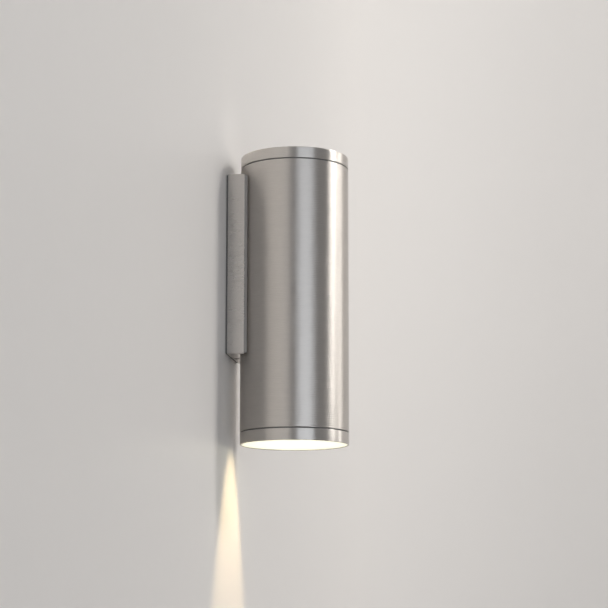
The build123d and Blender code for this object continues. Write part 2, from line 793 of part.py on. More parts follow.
# ---------------------------------------------------------------- earth connection

with BuildPart() as earth_tag:
    with BuildSketch(tube_plane.offset(shelf_top_z)):
        with Locations((0, (earth_screw_y + earth_tag_width / 2 + earth_blade_y) / 2)):
            Rectangle(earth_tag_width, earth_screw_y + earth_tag_width / 2 - earth_blade_y)
        with Locations((0, earth_screw_y)):
            Circle(screw_hole_radius, mode=Mode.SUBTRACT)
    extrude(amount=earth_tag_sheet)
    with BuildSketch(tube_plane.offset(shelf_top_z)):
        with Locations((0, earth_blade_y)):
            Rectangle(earth_tag_width - 2 * edge_break, earth_tag_sheet)
    extrude(amount=earth_tag_rise)
save(earth_tag, "earth_tag")

with BuildPart() as earth_plug:
    with BuildSketch(tube_plane.offset(plug_bottom_z)):
        with Locations((earth_x, earth_blade_y)):
            RectangleRounded(plug_width + 2 * edge_break, plug_thickness, block_corner)
    extrude(amount=plug_length)
    with BuildSketch(tube_plane.offset(plug_bottom_z)):
        with Locations((earth_x, earth_blade_y)):
            Rectangle(earth_tag_width - 2 * edge_break + seat_clearance, earth_tag_sheet + seat_clearance)
    extrude(amount=earth_tag_rise, mode=Mode.SUBTRACT)
save(earth_plug, "earth_plug")

with BuildPart() as earth_screw:
    head_bottom_z = shelf_top_z + earth_tag_sheet
    with BuildSketch(tube_plane.offset(head_bottom_z)):
        with Locations((0, earth_screw_y)):
            Circle(pan_head_radius)
    extrude(amount=pan_head_height)
    with BuildSketch(tube_plane.offset(head_bottom_z)):
        with Locations((0, earth_screw_y)):
            Circle(screw_radius)
    extrude(amount=-(earth_tag_sheet + holder_sheet + nut_height + screw_past_nut))
    hex_key(
        Plane(origin=(0, earth_screw_y - axis_from_wall, head_bottom_z + pan_head_height)), key_depth
    )
save(earth_screw, "earth_screw")

with BuildPart() as earth_nut:
    with BuildSketch(tube_plane.offset(holder_top_z)):
        with Locations((0, earth_screw_y)):
            RegularPolygon(nut_flat / 2, 6, major_radius=False, rotation=nut_turn)
            Circle(screw_radius + seat_clearance, mode=Mode.SUBTRACT)
    extrude(amount=-nut_height)
save(earth_nut, "earth_nut")
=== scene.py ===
"""Tube wall light: visible surfaces, finishes, room and camera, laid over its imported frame."""

import math

import bmesh
import bpy
import numpy as np
from bpy.props import FloatProperty, FloatVectorProperty, IntProperty, PointerProperty
from mathutils import Matrix, Vector


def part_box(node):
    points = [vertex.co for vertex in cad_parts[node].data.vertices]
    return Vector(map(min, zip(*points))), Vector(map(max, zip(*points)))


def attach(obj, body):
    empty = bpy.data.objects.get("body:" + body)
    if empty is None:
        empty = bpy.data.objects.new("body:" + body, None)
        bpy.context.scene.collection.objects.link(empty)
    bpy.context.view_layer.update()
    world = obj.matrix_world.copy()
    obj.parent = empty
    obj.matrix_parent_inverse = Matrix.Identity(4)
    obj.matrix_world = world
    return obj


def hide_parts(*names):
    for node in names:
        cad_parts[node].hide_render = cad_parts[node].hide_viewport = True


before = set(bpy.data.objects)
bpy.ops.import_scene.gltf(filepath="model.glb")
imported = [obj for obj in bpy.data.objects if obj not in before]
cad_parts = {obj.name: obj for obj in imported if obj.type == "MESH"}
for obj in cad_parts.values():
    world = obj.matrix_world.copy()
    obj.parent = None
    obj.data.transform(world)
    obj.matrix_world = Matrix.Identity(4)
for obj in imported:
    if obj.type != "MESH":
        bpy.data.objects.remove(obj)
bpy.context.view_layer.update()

bl_info = {
    "name": "Tube wall light",
    "version": (1, 0, 0),
    "blender": (4, 5, 0),
    "location": "3D View > Sidebar > Tube light",
    "description": "Brushed tube wall light with a frosted lower lens, on its wall box",
    "category": "Object",
}

MM = 0.001

# ---------------------------------------------------------------- measures read from the frame


def low(node, axis):
    """Lowest coordinate of a frame node on one axis, in millimetres."""
    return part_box(node)[0][axis] / MM


def high(node, axis):
    """Highest coordinate of a frame node on one axis, in millimetres."""
    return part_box(node)[1][axis] / MM


TUBE_RADIUS = high("top_cap", 0)
AXIS_Y = low("top_cap", 1) + TUBE_RADIUS
TOP_Z = high("top_cap", 2)
CAP_LOW_Z = low("top_cap", 2)
TUBE_HIGH_Z = low("cap_seal", 2)
TUBE_LOW_Z = high("bezel_seal", 2)
RING_HIGH_Z = low("bezel_seal", 2)
RIM_Z = low("bezel_ring", 2)
SPIGOT_HIGH_Z = high("tube_body", 2)
SPIGOT_LOW_Z = low("tube_body", 2)
LENS_LOW_Z = low("lens", 2)
LENS_HIGH_Z = high("lens", 2)
LENS_RADIUS = high("lens", 0)
BOX_HALF_WIDTH = high("backplate_cover", 0)
BOX_HALF_HEIGHT = high("backplate_cover", 2)
BOX_BACK_Y = high("backplate_cover", 1)
BOX_FRONT_Y = low("backplate_cover", 1)

# Inner measures of the same pieces, which their boxes don't show
TUBE_BORE = 27.4
SPIGOT_RADIUS = 28.8
RING_BORE = 28.85
CAP_ROOF_Z = 59.7
LIP_RADIUS = 27.25
LIP_THICKNESS = 0.3
RIM_LAND = 1.0
FACE_INSET = 0.35
LENS_PLAY = 0.06
SEAT_GAP = 0.012
WINDOW = (-10.65, 10.65, -8.0, 34.1)
SCREW_HOLES = (41.0, -16.0, -41.0)
SCREW_HOLE_RADIUS = 1.6
BOX_WALL = 0.6
BOX_CLEARANCE_RADIUS = 30.05
GRUB_Y = -3.3
GRUB_HOLE_RADIUS = 1.8
LAMP_FACE_Z = low("lamp_housing", 2)
LAMP_WAIST_Z = high("lamp_housing", 2)
LAMP_RADIUS = high("lamp_housing", 0)

# How finely a detail is divided
CORNER_POINTS = 5
BEND_STEPS = 6
HOLE_CELLS = 8
ROWS_PER_THREAD = 9

# Height of the room's floor
FLOOR_Z = -1250.0

# The record's material slot of each frame node
NODE_SLOT = {
    name: node.material_slots[0].name for name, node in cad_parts.items() if node.material_slots}

# ---------------------------------------------------------------- what a user would change


def length(name, description, default, least, most):
    """Property for a length."""
    return FloatProperty(
        name=name, description=description, default=default, min=least, max=most, unit="LENGTH", precision=5)


def colour(name, description, default):
    """Property for a colour."""
    return FloatVectorProperty(
        name=name, description=description, default=default, subtype="COLOR", size=3, min=0.0, max=1.0)


def amount(name, description, default, most, unit="NONE"):
    """Property for a level or a power."""
    return FloatProperty(name=name, description=description, default=default, min=0.0, max=most, unit=unit)


def count(name, description, default, least, most):
    """Property for a whole number."""
    return IntProperty(name=name, description=description, default=default, min=least, max=most)


class TUBELIGHT_PG_shape(bpy.types.PropertyGroup):
    """Sizes of the details that the frame leaves open."""

    edge_round: length("Edge rounding", "Rounding of the brushed parts' edges", 0.00016, 0.00002, 0.0006)
    sheet_bend: length("Sheet bend", "Outer radius of the wall box's four bends", 0.0005, 0.0001, 0.002)
    segments: count("Round segments", "Faces round the tube", 288, 48, 720)
    thread_pitch: length("Thread pitch", "Rise of the bezel's thread in one turn", 0.001, 0.0004, 0.003)
    thread_depth: length("Thread depth", "Depth of the thread on the tube's lower end", 0.00034, 0.0, 0.001)
    flute_count: count("Lamp flutes", "Cooling flutes round the lamp's flank", 28, 0, 72)
    flute_depth: length("Flute depth", "Depth of the lamp's cooling flutes", 0.0011, 0.0, 0.003)


class TUBELIGHT_PG_finish(bpy.types.PropertyGroup):
    """Colours and surface characters of the finishes."""

    tube_tone: colour("Tube metal", "Colour of the brushed tube", (0.71, 0.673, 0.633))
    ring_tone: colour("Ring metal", "Colour of the cap and the bezel ring", (0.722, 0.688, 0.65))
    box_tone: colour("Box metal", "Colour of the wall box", (0.60, 0.572, 0.545))
    # The saddle's metal is painted darker than the box's, as painted shade of the narrow gap between box and
    # tube.
    saddle_shade_tone: colour("Saddle metal", "Colour of the strip between box and tube", (0.36, 0.35, 0.34))
    grain_length: length("Grain length", "Length of one brushing mark", 0.0045, 0.0005, 0.1)
    grain_width: length("Grain width", "Width of one brushing mark", 0.0006, 0.00005, 0.003)
    glow: colour("Lens glow", "Colour of the light in the frosted lens", (1.0, 0.975, 0.68))
    glow_strength: amount("Glow strength", "Brightness of the lit lens, where 1 is white", 0.95, 40.0)
    wall_tone: colour("Wall paint", "Colour of the painted wall", (0.85, 0.828, 0.805))
    floor_tone: colour("Floor", "Colour of the plain floor", (0.42, 0.41, 0.40))


class TUBELIGHT_PG_studio(bpy.types.PropertyGroup):
    """Lamps of the room. A radiance of 1 shows white."""

    ambient: amount("Ambient", "Level of the light from all round, at eye height", 0.2, 2.0)
    overhead: amount("Overhead", "Level of the light from straight above", 0.41, 2.0)
    key_level: amount("Key lamp", "Radiance of the large soft lamp", 22.3, 100.0)
    fill_level: amount("Fill panel", "Radiance of the pale panel on the left", 1.46, 100.0)
    side_level: amount("Side panel", "Radiance of the warm panel beside the key lamp", 2.8, 100.0)
    beam_power: amount("Beam", "Power of the light's own beam on the wall", 2.35, 100.0, "POWER")
    beam_tone: colour("Beam colour", "Colour of the light's own beam", (1.0, 0.73, 0.41))


# ---------------------------------------------------------------- shape functions


def rounded_outline(corners, radii, closed=True, support=0.45):
    """Outline with its corners rounded, as points in order.

    A corner C becomes the quadratic curve (1-t)^2 A + 2t(1-t) C + t^2 B, where A and B lie a radius before
    and after it. One more point, support farther out than each, keeps the shade of the flat runs flat.
    """
    corners = np.asarray(corners, float)
    radii = np.broadcast_to(np.asarray(radii, float), (len(corners),))[:, None]
    back = np.roll(corners, 1, 0) - corners
    ahead = np.roll(corners, -1, 0) - corners
    back_length = np.linalg.norm(back, axis=1, keepdims=True)
    ahead_length = np.linalg.norm(ahead, axis=1, keepdims=True)
    back, ahead = back / back_length, ahead / ahead_length
    start = corners + back * np.minimum(radii, 0.4 * back_length)
    stop = corners + ahead * np.minimum(radii, 0.4 * ahead_length)
    before = corners + back * np.minimum(radii + support, 0.47 * back_length)
    after = corners + ahead * np.minimum(radii + support, 0.47 * ahead_length)
    t = np.linspace(0, 1, CORNER_POINTS)[:, None, None]
    arcs = ((1 - t) ** 2 * start + 2 * t * (1 - t) * corners + t**2 * stop).transpose(1, 0, 2)
    rounds = np.concatenate([before[:, None], arcs, after[:, None]], axis=1)
    if closed:
        return rounds.reshape(-1, 2)
    return np.concatenate([corners[:1], rounds[1:-1].reshape(-1, 2), corners[-1:]])


def outline_length(outline):
    """Distance along an outline from its first point to each point, with the closing run as a last entry."""
    steps = np.linalg.norm(np.roll(outline, -1, 0) - outline, axis=1)
    return np.concatenate([[0.0], np.cumsum(steps)])


def flow_grid(along, around):
    """Flow coordinates of a grid from those of its rows and its columns."""
    return np.stack(np.meshgrid(along, around, indexing="ij"), axis=2)


def grid_quads(index, uv, keep=None):
    """Quads of a grid: cell (i, j) joins (i, j), (i, j+1), (i+1, j+1) and (i+1, j). keep marks those kept."""
    rows, columns = np.meshgrid(np.arange(index.shape[0] - 1), np.arange(index.shape[1] - 1), indexing="ij")
    if keep is not None:
        rows, columns = rows[keep], columns[keep]
    rows, columns = rows.ravel(), columns.ravel()
    cells = [(rows, columns), (rows, columns + 1), (rows + 1, columns + 1), (rows + 1, columns)]
    return (
        np.stack([index[cell] for cell in cells], axis=1),
        np.stack([uv[cell] for cell in cells], axis=1),
    )


def ring_index(rows, columns, close_rows, close_columns):
    """Point numbers of a grid, with its first row or column repeated at the end where it closes on itself."""
    index = np.arange(rows * columns).reshape(rows, columns)
    if close_rows:
        index = np.concatenate([index, index[:1]])
    if close_columns:
        index = np.concatenate([index, index[:, :1]], axis=1)
    return index


def place_object(name, data):
    """Object with its mesh, lamp or camera, in the scene."""
    thing = bpy.data.objects.new(name, data)
    bpy.context.scene.collection.objects.link(thing)
    return thing


def make_piece(name, points, quads, uvs, sharp=38.0, body="fixture"):
    """Mesh object from points in millimetres and quads with their flow coordinates, on its body.

    A quad with two equal corners, as at a pole, becomes a triangle. Points that no face uses are dropped.
    """
    repeated = quads == np.roll(quads, -1, axis=1)
    whole = ~repeated.any(axis=1)
    thin = repeated.sum(axis=1) == 1
    kept = ~repeated[thin]
    flow = np.concatenate([uvs[whole].reshape(-1, 2), uvs[thin][kept]])
    used, corners = np.unique(np.concatenate([quads[whole].ravel(), quads[thin][kept]]), return_inverse=True)
    sizes = np.repeat([4, 3], [whole.sum(), thin.sum()])
    starts = np.concatenate([[0], np.cumsum(sizes)[:-1]])

    mesh = bpy.data.meshes.new(name)
    mesh.vertices.add(len(used))
    mesh.vertices.foreach_set("co", (points[used] * MM).astype(np.float32).ravel())
    mesh.loops.add(len(corners))
    mesh.loops.foreach_set("vertex_index", corners.astype(np.int32))
    mesh.polygons.add(len(sizes))
    mesh.polygons.foreach_set("loop_start", starts.astype(np.int32))
    mesh.update(calc_edges=True)
    layer = mesh.uv_layers.new(name="flow")
    layer.data.foreach_set("uv", (flow * MM).astype(np.float32).ravel())

    welded = bmesh.new()
    welded.from_mesh(mesh)
    bmesh.ops.remove_doubles(welded, verts=welded.verts, dist=1e-7)
    bmesh.ops.recalc_face_normals(welded, faces=welded.faces)
    if welded.calc_volume(signed=True) < 0:
        bmesh.ops.reverse_faces(welded, faces=welded.faces)
    welded.to_mesh(mesh)
    welded.free()
    mesh.shade_smooth()
    mesh.set_sharp_from_angle(angle=math.radians(sharp))
    mesh.validate()

    piece = place_object(name, mesh)
    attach(piece, body)
    return piece


def turned(outline, segments, closed, wave=None, centre=(0.0, AXIS_Y)):
    """Surface of revolution: outline point (r, z) at angle a goes to (x + r cos a, y + r sin a, z).

    wave, if given, is a function of the angle that is added to r.
    """
    angle = np.linspace(0, 2 * math.pi, segments, endpoint=False)
    radius = np.repeat(outline[:, :1], segments, axis=1)
    height = np.repeat(outline[:, 1:], segments, axis=1)
    if wave is not None:
        radius = radius + wave(angle[None, :])
    points = np.stack(
        [centre[0] + radius * np.cos(angle), centre[1] + radius * np.sin(angle), height], axis=2)
    index = ring_index(len(outline), segments, closed, True)
    if not closed:
        index[0], index[-1] = index[0, 0], index[-1, 0]
    along = outline_length(outline)[: len(outline) + closed]
    around = np.linspace(0, 2 * math.pi, segments + 1) * outline[:, 0].max()
    return points.reshape(-1, 3), *grid_quads(index, flow_grid(along, around))


def spread_lines(first, last, spacing, *fixed):
    """Lines from first to last about a spacing apart, among the fixed ones and never close to those."""
    fixed = np.unique(np.round(np.concatenate([*fixed, [first, last]]), 6))
    fixed = fixed[(fixed > first - 1e-5) & (fixed < last + 1e-5)]
    free = np.linspace(first, last, max(2, int(round((last - first) / spacing)) + 1))
    gap = np.abs(free[:, None] - fixed[None, :]).min(axis=1)
    return np.unique(np.concatenate([fixed, free[gap > 0.45 * spacing]]))


def pierced_loop(points, uv, run, inner_rows, removed):
    """Quads of a shell whose section closes on itself, with openings through it.

    The first rows of the grid, run of them, are the outer skin, and inner_rows are the rows of the inner skin
    that stand behind them. removed marks the outer cells that are open. Each edge of an opening gets a wall
    between the two skins.
    """
    rows, columns = points.shape[:2]
    index = ring_index(rows, columns, True, True)
    keep = np.ones((rows, columns), bool)
    keep[: run - 1] &= ~removed
    keep[inner_rows[1:]] &= ~removed
    quads, uvs = grid_quads(index, uv, keep)
    outer = index[:run]
    inner = index[inner_rows]
    edge_rows = np.zeros((run, columns), bool)
    edge_rows[1:-1] = removed[1:] != removed[:-1]
    edge_columns = removed != np.roll(removed, 1, axis=1)
    k, j = np.nonzero(edge_rows)
    across = np.stack([outer[k, j], outer[k, j + 1], inner[k, j + 1], inner[k, j]], axis=1)
    i, m = np.nonzero(edge_columns)
    along = np.stack([outer[i, m], outer[i + 1, m], inner[i + 1, m], inner[i, m]], axis=1)
    walls = np.concatenate([across, along])
    wall_uv = np.tile(np.array([[0, 0], [0, 1], [1, 1], [1, 0]], float), (len(walls), 1, 1))
    return np.concatenate([quads, walls]), np.concatenate([uvs, wall_uv])


def round_hole(across, up, centre_across, centre_up, radius, tolerance=1e-4, among=True):
    """Moves the grid points on a square of half side radius about a centre onto the circle of that radius."""
    x, z = across - centre_across, up - centre_up
    on_square = among & (np.abs(np.maximum(np.abs(x), np.abs(z)) - radius) < tolerance)
    scale = np.where(on_square, radius / np.maximum(np.hypot(x, z), 1e-9), 1.0)
    return centre_across + x * scale, centre_up + z * scale


def hole_lines(centre, radius):
    """Grid lines across a round hole."""
    return centre + np.linspace(-radius, radius, HOLE_CELLS + 1)


def cells_between(lines, first, last):
    """Which cells of a set of lines lie between two of them."""
    middle = (lines[1:] + lines[:-1]) / 2
    return (middle > first) & (middle < last)


# ---------------------------------------------------------------- the brushed parts


def tube_surface(shape):
    """The tube as one closed shell: outer skin, upper end, bore and threaded lower end.

    Height and angle are the two parameters. Near the wall the columns run at equal distances across instead
    of equal angles, x = r sin a, so that the rear window and the screw holes have straight sides. The thread
    is a cosine of height / pitch + a / 2 pi that is taken off the radius and fades at both its ends.
    """
    edge, pitch = shape.edge_round / MM, shape.thread_pitch / MM
    inset, plain_end, root = 0.9, 0.45, 0.1
    heights = spread_lines(
        TUBE_LOW_Z + inset, TUBE_HIGH_Z - inset, 6.0, WINDOW[2:],
        *[hole_lines(z, SCREW_HOLE_RADIUS) for z in SCREW_HOLES])
    upper = rounded_outline(
        [(TUBE_RADIUS, TUBE_HIGH_Z - inset), (TUBE_RADIUS, TUBE_HIGH_Z), (SPIGOT_RADIUS, TUBE_HIGH_Z),
         (SPIGOT_RADIUS, SPIGOT_HIGH_Z), (TUBE_BORE, SPIGOT_HIGH_Z), (TUBE_BORE, TUBE_HIGH_Z - inset)],
        [edge, edge, edge / 4, edge, edge, edge], closed=False)[1:-1]
    thread = np.arange(SPIGOT_LOW_Z + plain_end, TUBE_LOW_Z - root, pitch / ROWS_PER_THREAD)
    lower = np.concatenate([
        rounded_outline(
            [(TUBE_BORE, TUBE_LOW_Z + inset), (TUBE_BORE, SPIGOT_LOW_Z), (SPIGOT_RADIUS, SPIGOT_LOW_Z),
             (SPIGOT_RADIUS, SPIGOT_LOW_Z + inset)],
            [edge, edge, edge, edge], closed=False, support=0.12)[1:-1],
        np.stack([np.full(len(thread), SPIGOT_RADIUS), thread], axis=1),
        rounded_outline(
            [(SPIGOT_RADIUS, TUBE_LOW_Z - 2 * root), (SPIGOT_RADIUS, TUBE_LOW_Z), (TUBE_RADIUS, TUBE_LOW_Z),
             (TUBE_RADIUS, TUBE_LOW_Z + inset)],
            [edge, edge / 4, edge, edge], closed=False, support=0.05)[1:-1],
    ])
    run = len(heights)
    outline = np.concatenate([
        np.stack([np.full(run, TUBE_RADIUS), heights], axis=1), upper,
        np.stack([np.full(run, TUBE_BORE), heights[::-1]], axis=1), lower])
    inner_rows = np.arange(run)[::-1] + run + len(upper)

    half = 12.0
    across = spread_lines(-half, half, 0.8, WINDOW[:2], hole_lines(0.0, SCREW_HOLE_RADIUS))
    front = np.linspace(0, 1, shape.segments - len(across) + 2)[1:-1]
    radius, height = outline[:, :1], np.repeat(outline[:, 1:], len(across), axis=1)
    x = np.repeat(across[None, :], len(outline), axis=0)
    for z in SCREW_HOLES:
        x, height = round_hole(x, height, 0.0, z, SCREW_HOLE_RADIUS)
    side = np.arcsin(half / radius)
    angle = np.concatenate([np.arcsin(x / radius), side + front[None, :] * (2 * math.pi - 2 * side)], axis=1)
    height = np.concatenate([height, np.repeat(outline[:, 1:], len(front), axis=1)], axis=1)
    on_thread = np.abs(radius - SPIGOT_RADIUS) < 1e-6
    run_in = np.clip((height - SPIGOT_LOW_Z - 0.25) / 0.4, 0, 1)
    run_out = np.clip((TUBE_LOW_Z - 0.08 - height) / 0.5, 0, 1)
    turn = height / pitch + angle / (2 * math.pi)
    groove = shape.thread_depth / MM * (0.5 - 0.5 * np.cos(2 * math.pi * turn)) * run_in * run_out
    radius = radius - np.where(on_thread & (height < TUBE_LOW_Z), groove, 0.0)
    points = np.stack([radius * np.sin(angle), AXIS_Y + radius * np.cos(angle), height], axis=2)

    columns = points.shape[1]
    removed = np.zeros((run - 1, columns), bool)
    back = slice(0, len(across) - 1)
    removed[:, back] |= np.outer(cells_between(heights, *WINDOW[2:]), cells_between(across, *WINDOW[:2]))
    for z in SCREW_HOLES:
        removed[:, back] |= np.outer(
            cells_between(heights, z - SCREW_HOLE_RADIUS, z + SCREW_HOLE_RADIUS),
            cells_between(across, -SCREW_HOLE_RADIUS, SCREW_HOLE_RADIUS))
    around = np.concatenate([angle[0], angle[0, :1] + 2 * math.pi]) * TUBE_RADIUS
    uv = flow_grid(outline_length(outline), around)
    return points.reshape(-1, 3), *pierced_loop(points, uv, run, inner_rows, removed)


def cap_surface(shape):
    """The blind cap turned from one outline: a thick disc with a ring below it that covers the tube's end."""
    edge = shape.edge_round / MM
    outline = rounded_outline(
        [(0, TOP_Z), (TUBE_RADIUS, TOP_Z), (TUBE_RADIUS, CAP_LOW_Z), (RING_BORE, CAP_LOW_Z),
         (RING_BORE, CAP_ROOF_Z), (0, CAP_ROOF_Z)],
        [edge, 2.5 * edge, edge, edge, edge, edge], closed=False)
    return turned(outline, shape.segments, False)


def bezel_surface(shape):
    """The screwed ring turned from one outline, with a flat land, a step up to the lens and a narrow lip."""
    edge = shape.edge_round / MM
    step = LENS_LOW_Z - LIP_THICKNESS
    outline = rounded_outline(
        [(RING_BORE, RING_HIGH_Z), (TUBE_RADIUS, RING_HIGH_Z), (TUBE_RADIUS, RIM_Z),
         (TUBE_RADIUS - RIM_LAND, RIM_Z), (TUBE_RADIUS - RIM_LAND, step), (LIP_RADIUS, step),
         (LIP_RADIUS, LENS_LOW_Z), (RING_BORE, LENS_LOW_Z)],
        [edge, edge, 1.4 * edge, edge, 0.05, 0.05, 0.02, 0.05], support=0.2)
    return turned(outline, shape.segments, True)


def lens_surface(shape):
    """The frosted disc: its rim lies on the ring's lip, and its face comes through the lip and covers it.

    The face is very slightly sunk in the middle, by a parabola of the radius.
    """
    face_z, face_radius = RIM_Z + FACE_INSET, TUBE_RADIUS - RIM_LAND - LENS_PLAY
    step, neck = LENS_LOW_Z - LIP_THICKNESS - 0.04, LIP_RADIUS - LENS_PLAY
    seat = LENS_LOW_Z + SEAT_GAP
    outline = rounded_outline(
        [(0, LENS_HIGH_Z), (LENS_RADIUS, LENS_HIGH_Z), (LENS_RADIUS, seat), (neck, seat),
         (neck, step), (face_radius, step), (face_radius, face_z), (0, face_z)],
        [0.1, 0.35, 0.05, 0.03, 0.03, 0.05, 0.2, 0.1], closed=False, support=0.12)
    fill = np.linspace(0.9, 0.1, 9)[:, None] * np.array([[LENS_RADIUS, 0.0]])
    top = fill[::-1] + [0.0, LENS_HIGH_Z]
    bottom = fill + [0.0, face_z]
    outline = np.concatenate([outline[:1], top, outline[1:-1], bottom, outline[-1:]])
    dish = 0.12 * (1 - np.clip(outline[:, 0] / LENS_RADIUS, 0, 1) ** 2)
    outline[:, 1] += np.where(outline[:, 1] < LENS_LOW_Z, dish, -0.2 * dish)
    return turned(outline, shape.segments, False)


def box_path(half_width, half_height, bend, inset, x_lines, z_lines):
    """Points round an upright rectangle with bent corners, inset inwards, clockwise from its upper left.

    Straight runs keep the given lines. A corner is the arc centre + radius (cos a, sin a), with its radius
    less the inset, and both skins of a sheet have the same number of points.
    """
    radius = max(bend - inset, 0.02)
    width, height = half_width - inset, half_height - inset
    cx, cz = width - radius, height - radius
    xs, zs = np.clip(x_lines, -cx, cx), np.clip(z_lines, -cz, cz)
    angle = np.linspace(0, math.pi / 2, BEND_STEPS + 2)[1:-1]

    def corner(sx, sz, start):
        a = start - angle
        return np.stack([sx * cx + radius * np.cos(a), sz * cz + radius * np.sin(a)], axis=1)

    return np.concatenate([
        np.stack([xs, np.full(len(xs), height)], axis=1), corner(1, 1, math.pi / 2),
        np.stack([np.full(len(zs), width), zs[::-1]], axis=1), corner(1, -1, 0.0),
        np.stack([xs[::-1], np.full(len(xs), -height)], axis=1), corner(-1, -1, -math.pi / 2),
        np.stack([np.full(len(zs), -width), zs], axis=1), corner(-1, 1, math.pi),
    ])


def cover_surface(shape):
    """The wall box's sheet-metal surround: a section in depth, carried round a bent rectangle.

    Where the tube passes, the front edge follows it: depth is scaled so that the edge lies on the circle
    y = y0 + sqrt(R^2 - x^2). The end walls have a round hole each for a grub screw.
    """
    edge = shape.edge_round / MM
    bend = shape.sheet_bend / MM
    straight = BOX_HALF_WIDTH - bend
    tall = BOX_HALF_HEIGHT - bend
    chord = math.sqrt(BOX_CLEARANCE_RADIUS**2 - (AXIS_Y - BOX_FRONT_Y) ** 2)
    x_lines = spread_lines(-straight, straight, 1.6, [-chord, chord], hole_lines(0.0, GRUB_HOLE_RADIUS),
                           [-straight + 0.4, straight - 0.4])
    z_lines = spread_lines(-tall, tall, 12.0, [-tall + 0.5, tall - 0.5])
    depth = BOX_BACK_Y - BOX_FRONT_Y
    nearest = AXIS_Y + BOX_CLEARANCE_RADIUS
    share = (BOX_BACK_Y - hole_lines(GRUB_Y, GRUB_HOLE_RADIUS)[::-1]) / (BOX_BACK_Y - nearest)
    depths = spread_lines(0.04 * depth, 0.975 * depth, 1.8, share * depth)
    run = len(depths)
    front = rounded_outline(
        [(0, depths[-1]), (0, depth), (BOX_WALL, depth), (BOX_WALL, depths[-1])],
        [edge, edge * 0.9, edge * 0.5, edge], closed=False, support=0.05)[1:-1]
    back = rounded_outline(
        [(BOX_WALL, depths[0]), (BOX_WALL, 0), (0, 0), (0, depths[0])],
        [edge, edge * 0.5, edge * 0.5, edge], closed=False, support=0.05)[1:-1]
    section = np.concatenate([
        np.stack([np.zeros(run), depths], axis=1), front,
        np.stack([np.full(run, BOX_WALL), depths[::-1]], axis=1), back])
    paths = np.stack([
        box_path(BOX_HALF_WIDTH, BOX_HALF_HEIGHT, bend, inset, x_lines, z_lines) for inset in section[:, 0]])
    x, z = paths[..., 0], paths[..., 1]
    on_end = np.abs(z) > BOX_HALF_HEIGHT - BOX_WALL - 0.01
    arc = AXIS_Y + np.sqrt(np.clip(BOX_CLEARANCE_RADIUS**2 - x**2, 0, None))
    limit = np.where(on_end & (np.abs(x) < chord), np.maximum(arc, BOX_FRONT_Y), BOX_FRONT_Y)
    y = BOX_BACK_Y + section[:, 1:] / depth * (limit - BOX_BACK_Y)
    by_hole = on_end & (np.abs(x) < GRUB_HOLE_RADIUS + 0.01)
    x, y = round_hole(x, y, 0.0, GRUB_Y, GRUB_HOLE_RADIUS, 0.09, by_hole)
    points = np.stack([x, y, z], axis=2)

    columns = points.shape[1]
    top = slice(0, len(x_lines) - 1)
    bottom_start = len(x_lines) + len(z_lines) + 2 * BEND_STEPS
    bottom = slice(bottom_start, bottom_start + len(x_lines) - 1)
    removed = np.zeros((run - 1, columns), bool)
    hole = np.outer(
        cells_between(depths, share.min() * depth, share.max() * depth),
        cells_between(x_lines, -GRUB_HOLE_RADIUS, GRUB_HOLE_RADIUS))
    removed[:, top] |= hole
    removed[:, bottom] |= hole[:, ::-1]
    inner_rows = np.arange(run)[::-1] + run + len(front)
    uv = flow_grid(outline_length(section), outline_length(paths[0]))[..., ::-1]
    return points.reshape(-1, 3), *pierced_loop(points, uv, run, inner_rows, removed)


def gasket_surface():
    """The wall seal: a flat section with a rounded outer lip, carried round a rectangle with small bends."""
    half_width, half_height = high("wall_seal", 0), high("wall_seal", 2)
    thickness, width = -low("wall_seal", 1), 2.9
    section = rounded_outline(
        [(0, 0), (0, thickness), (width, thickness), (width, 0)], [0.1, 0.32, 0.15, 0.1], support=0.2)
    x_lines = spread_lines(-half_width + 1.0, half_width - 1.0, 4.0)
    z_lines = spread_lines(-half_height + 1.0, half_height - 1.0, 8.0)
    paths = np.stack([
        box_path(half_width, half_height, 1.0, inset, x_lines, z_lines) for inset in section[:, 0]])
    y = np.repeat(-section[:, 1:], paths.shape[1], axis=1)
    points = np.stack([paths[..., 0], y, paths[..., 1]], axis=2)
    index = ring_index(len(section), paths.shape[1], True, True)
    uv = flow_grid(outline_length(section), outline_length(paths[0]))
    return points.reshape(-1, 3), *grid_quads(index, uv)


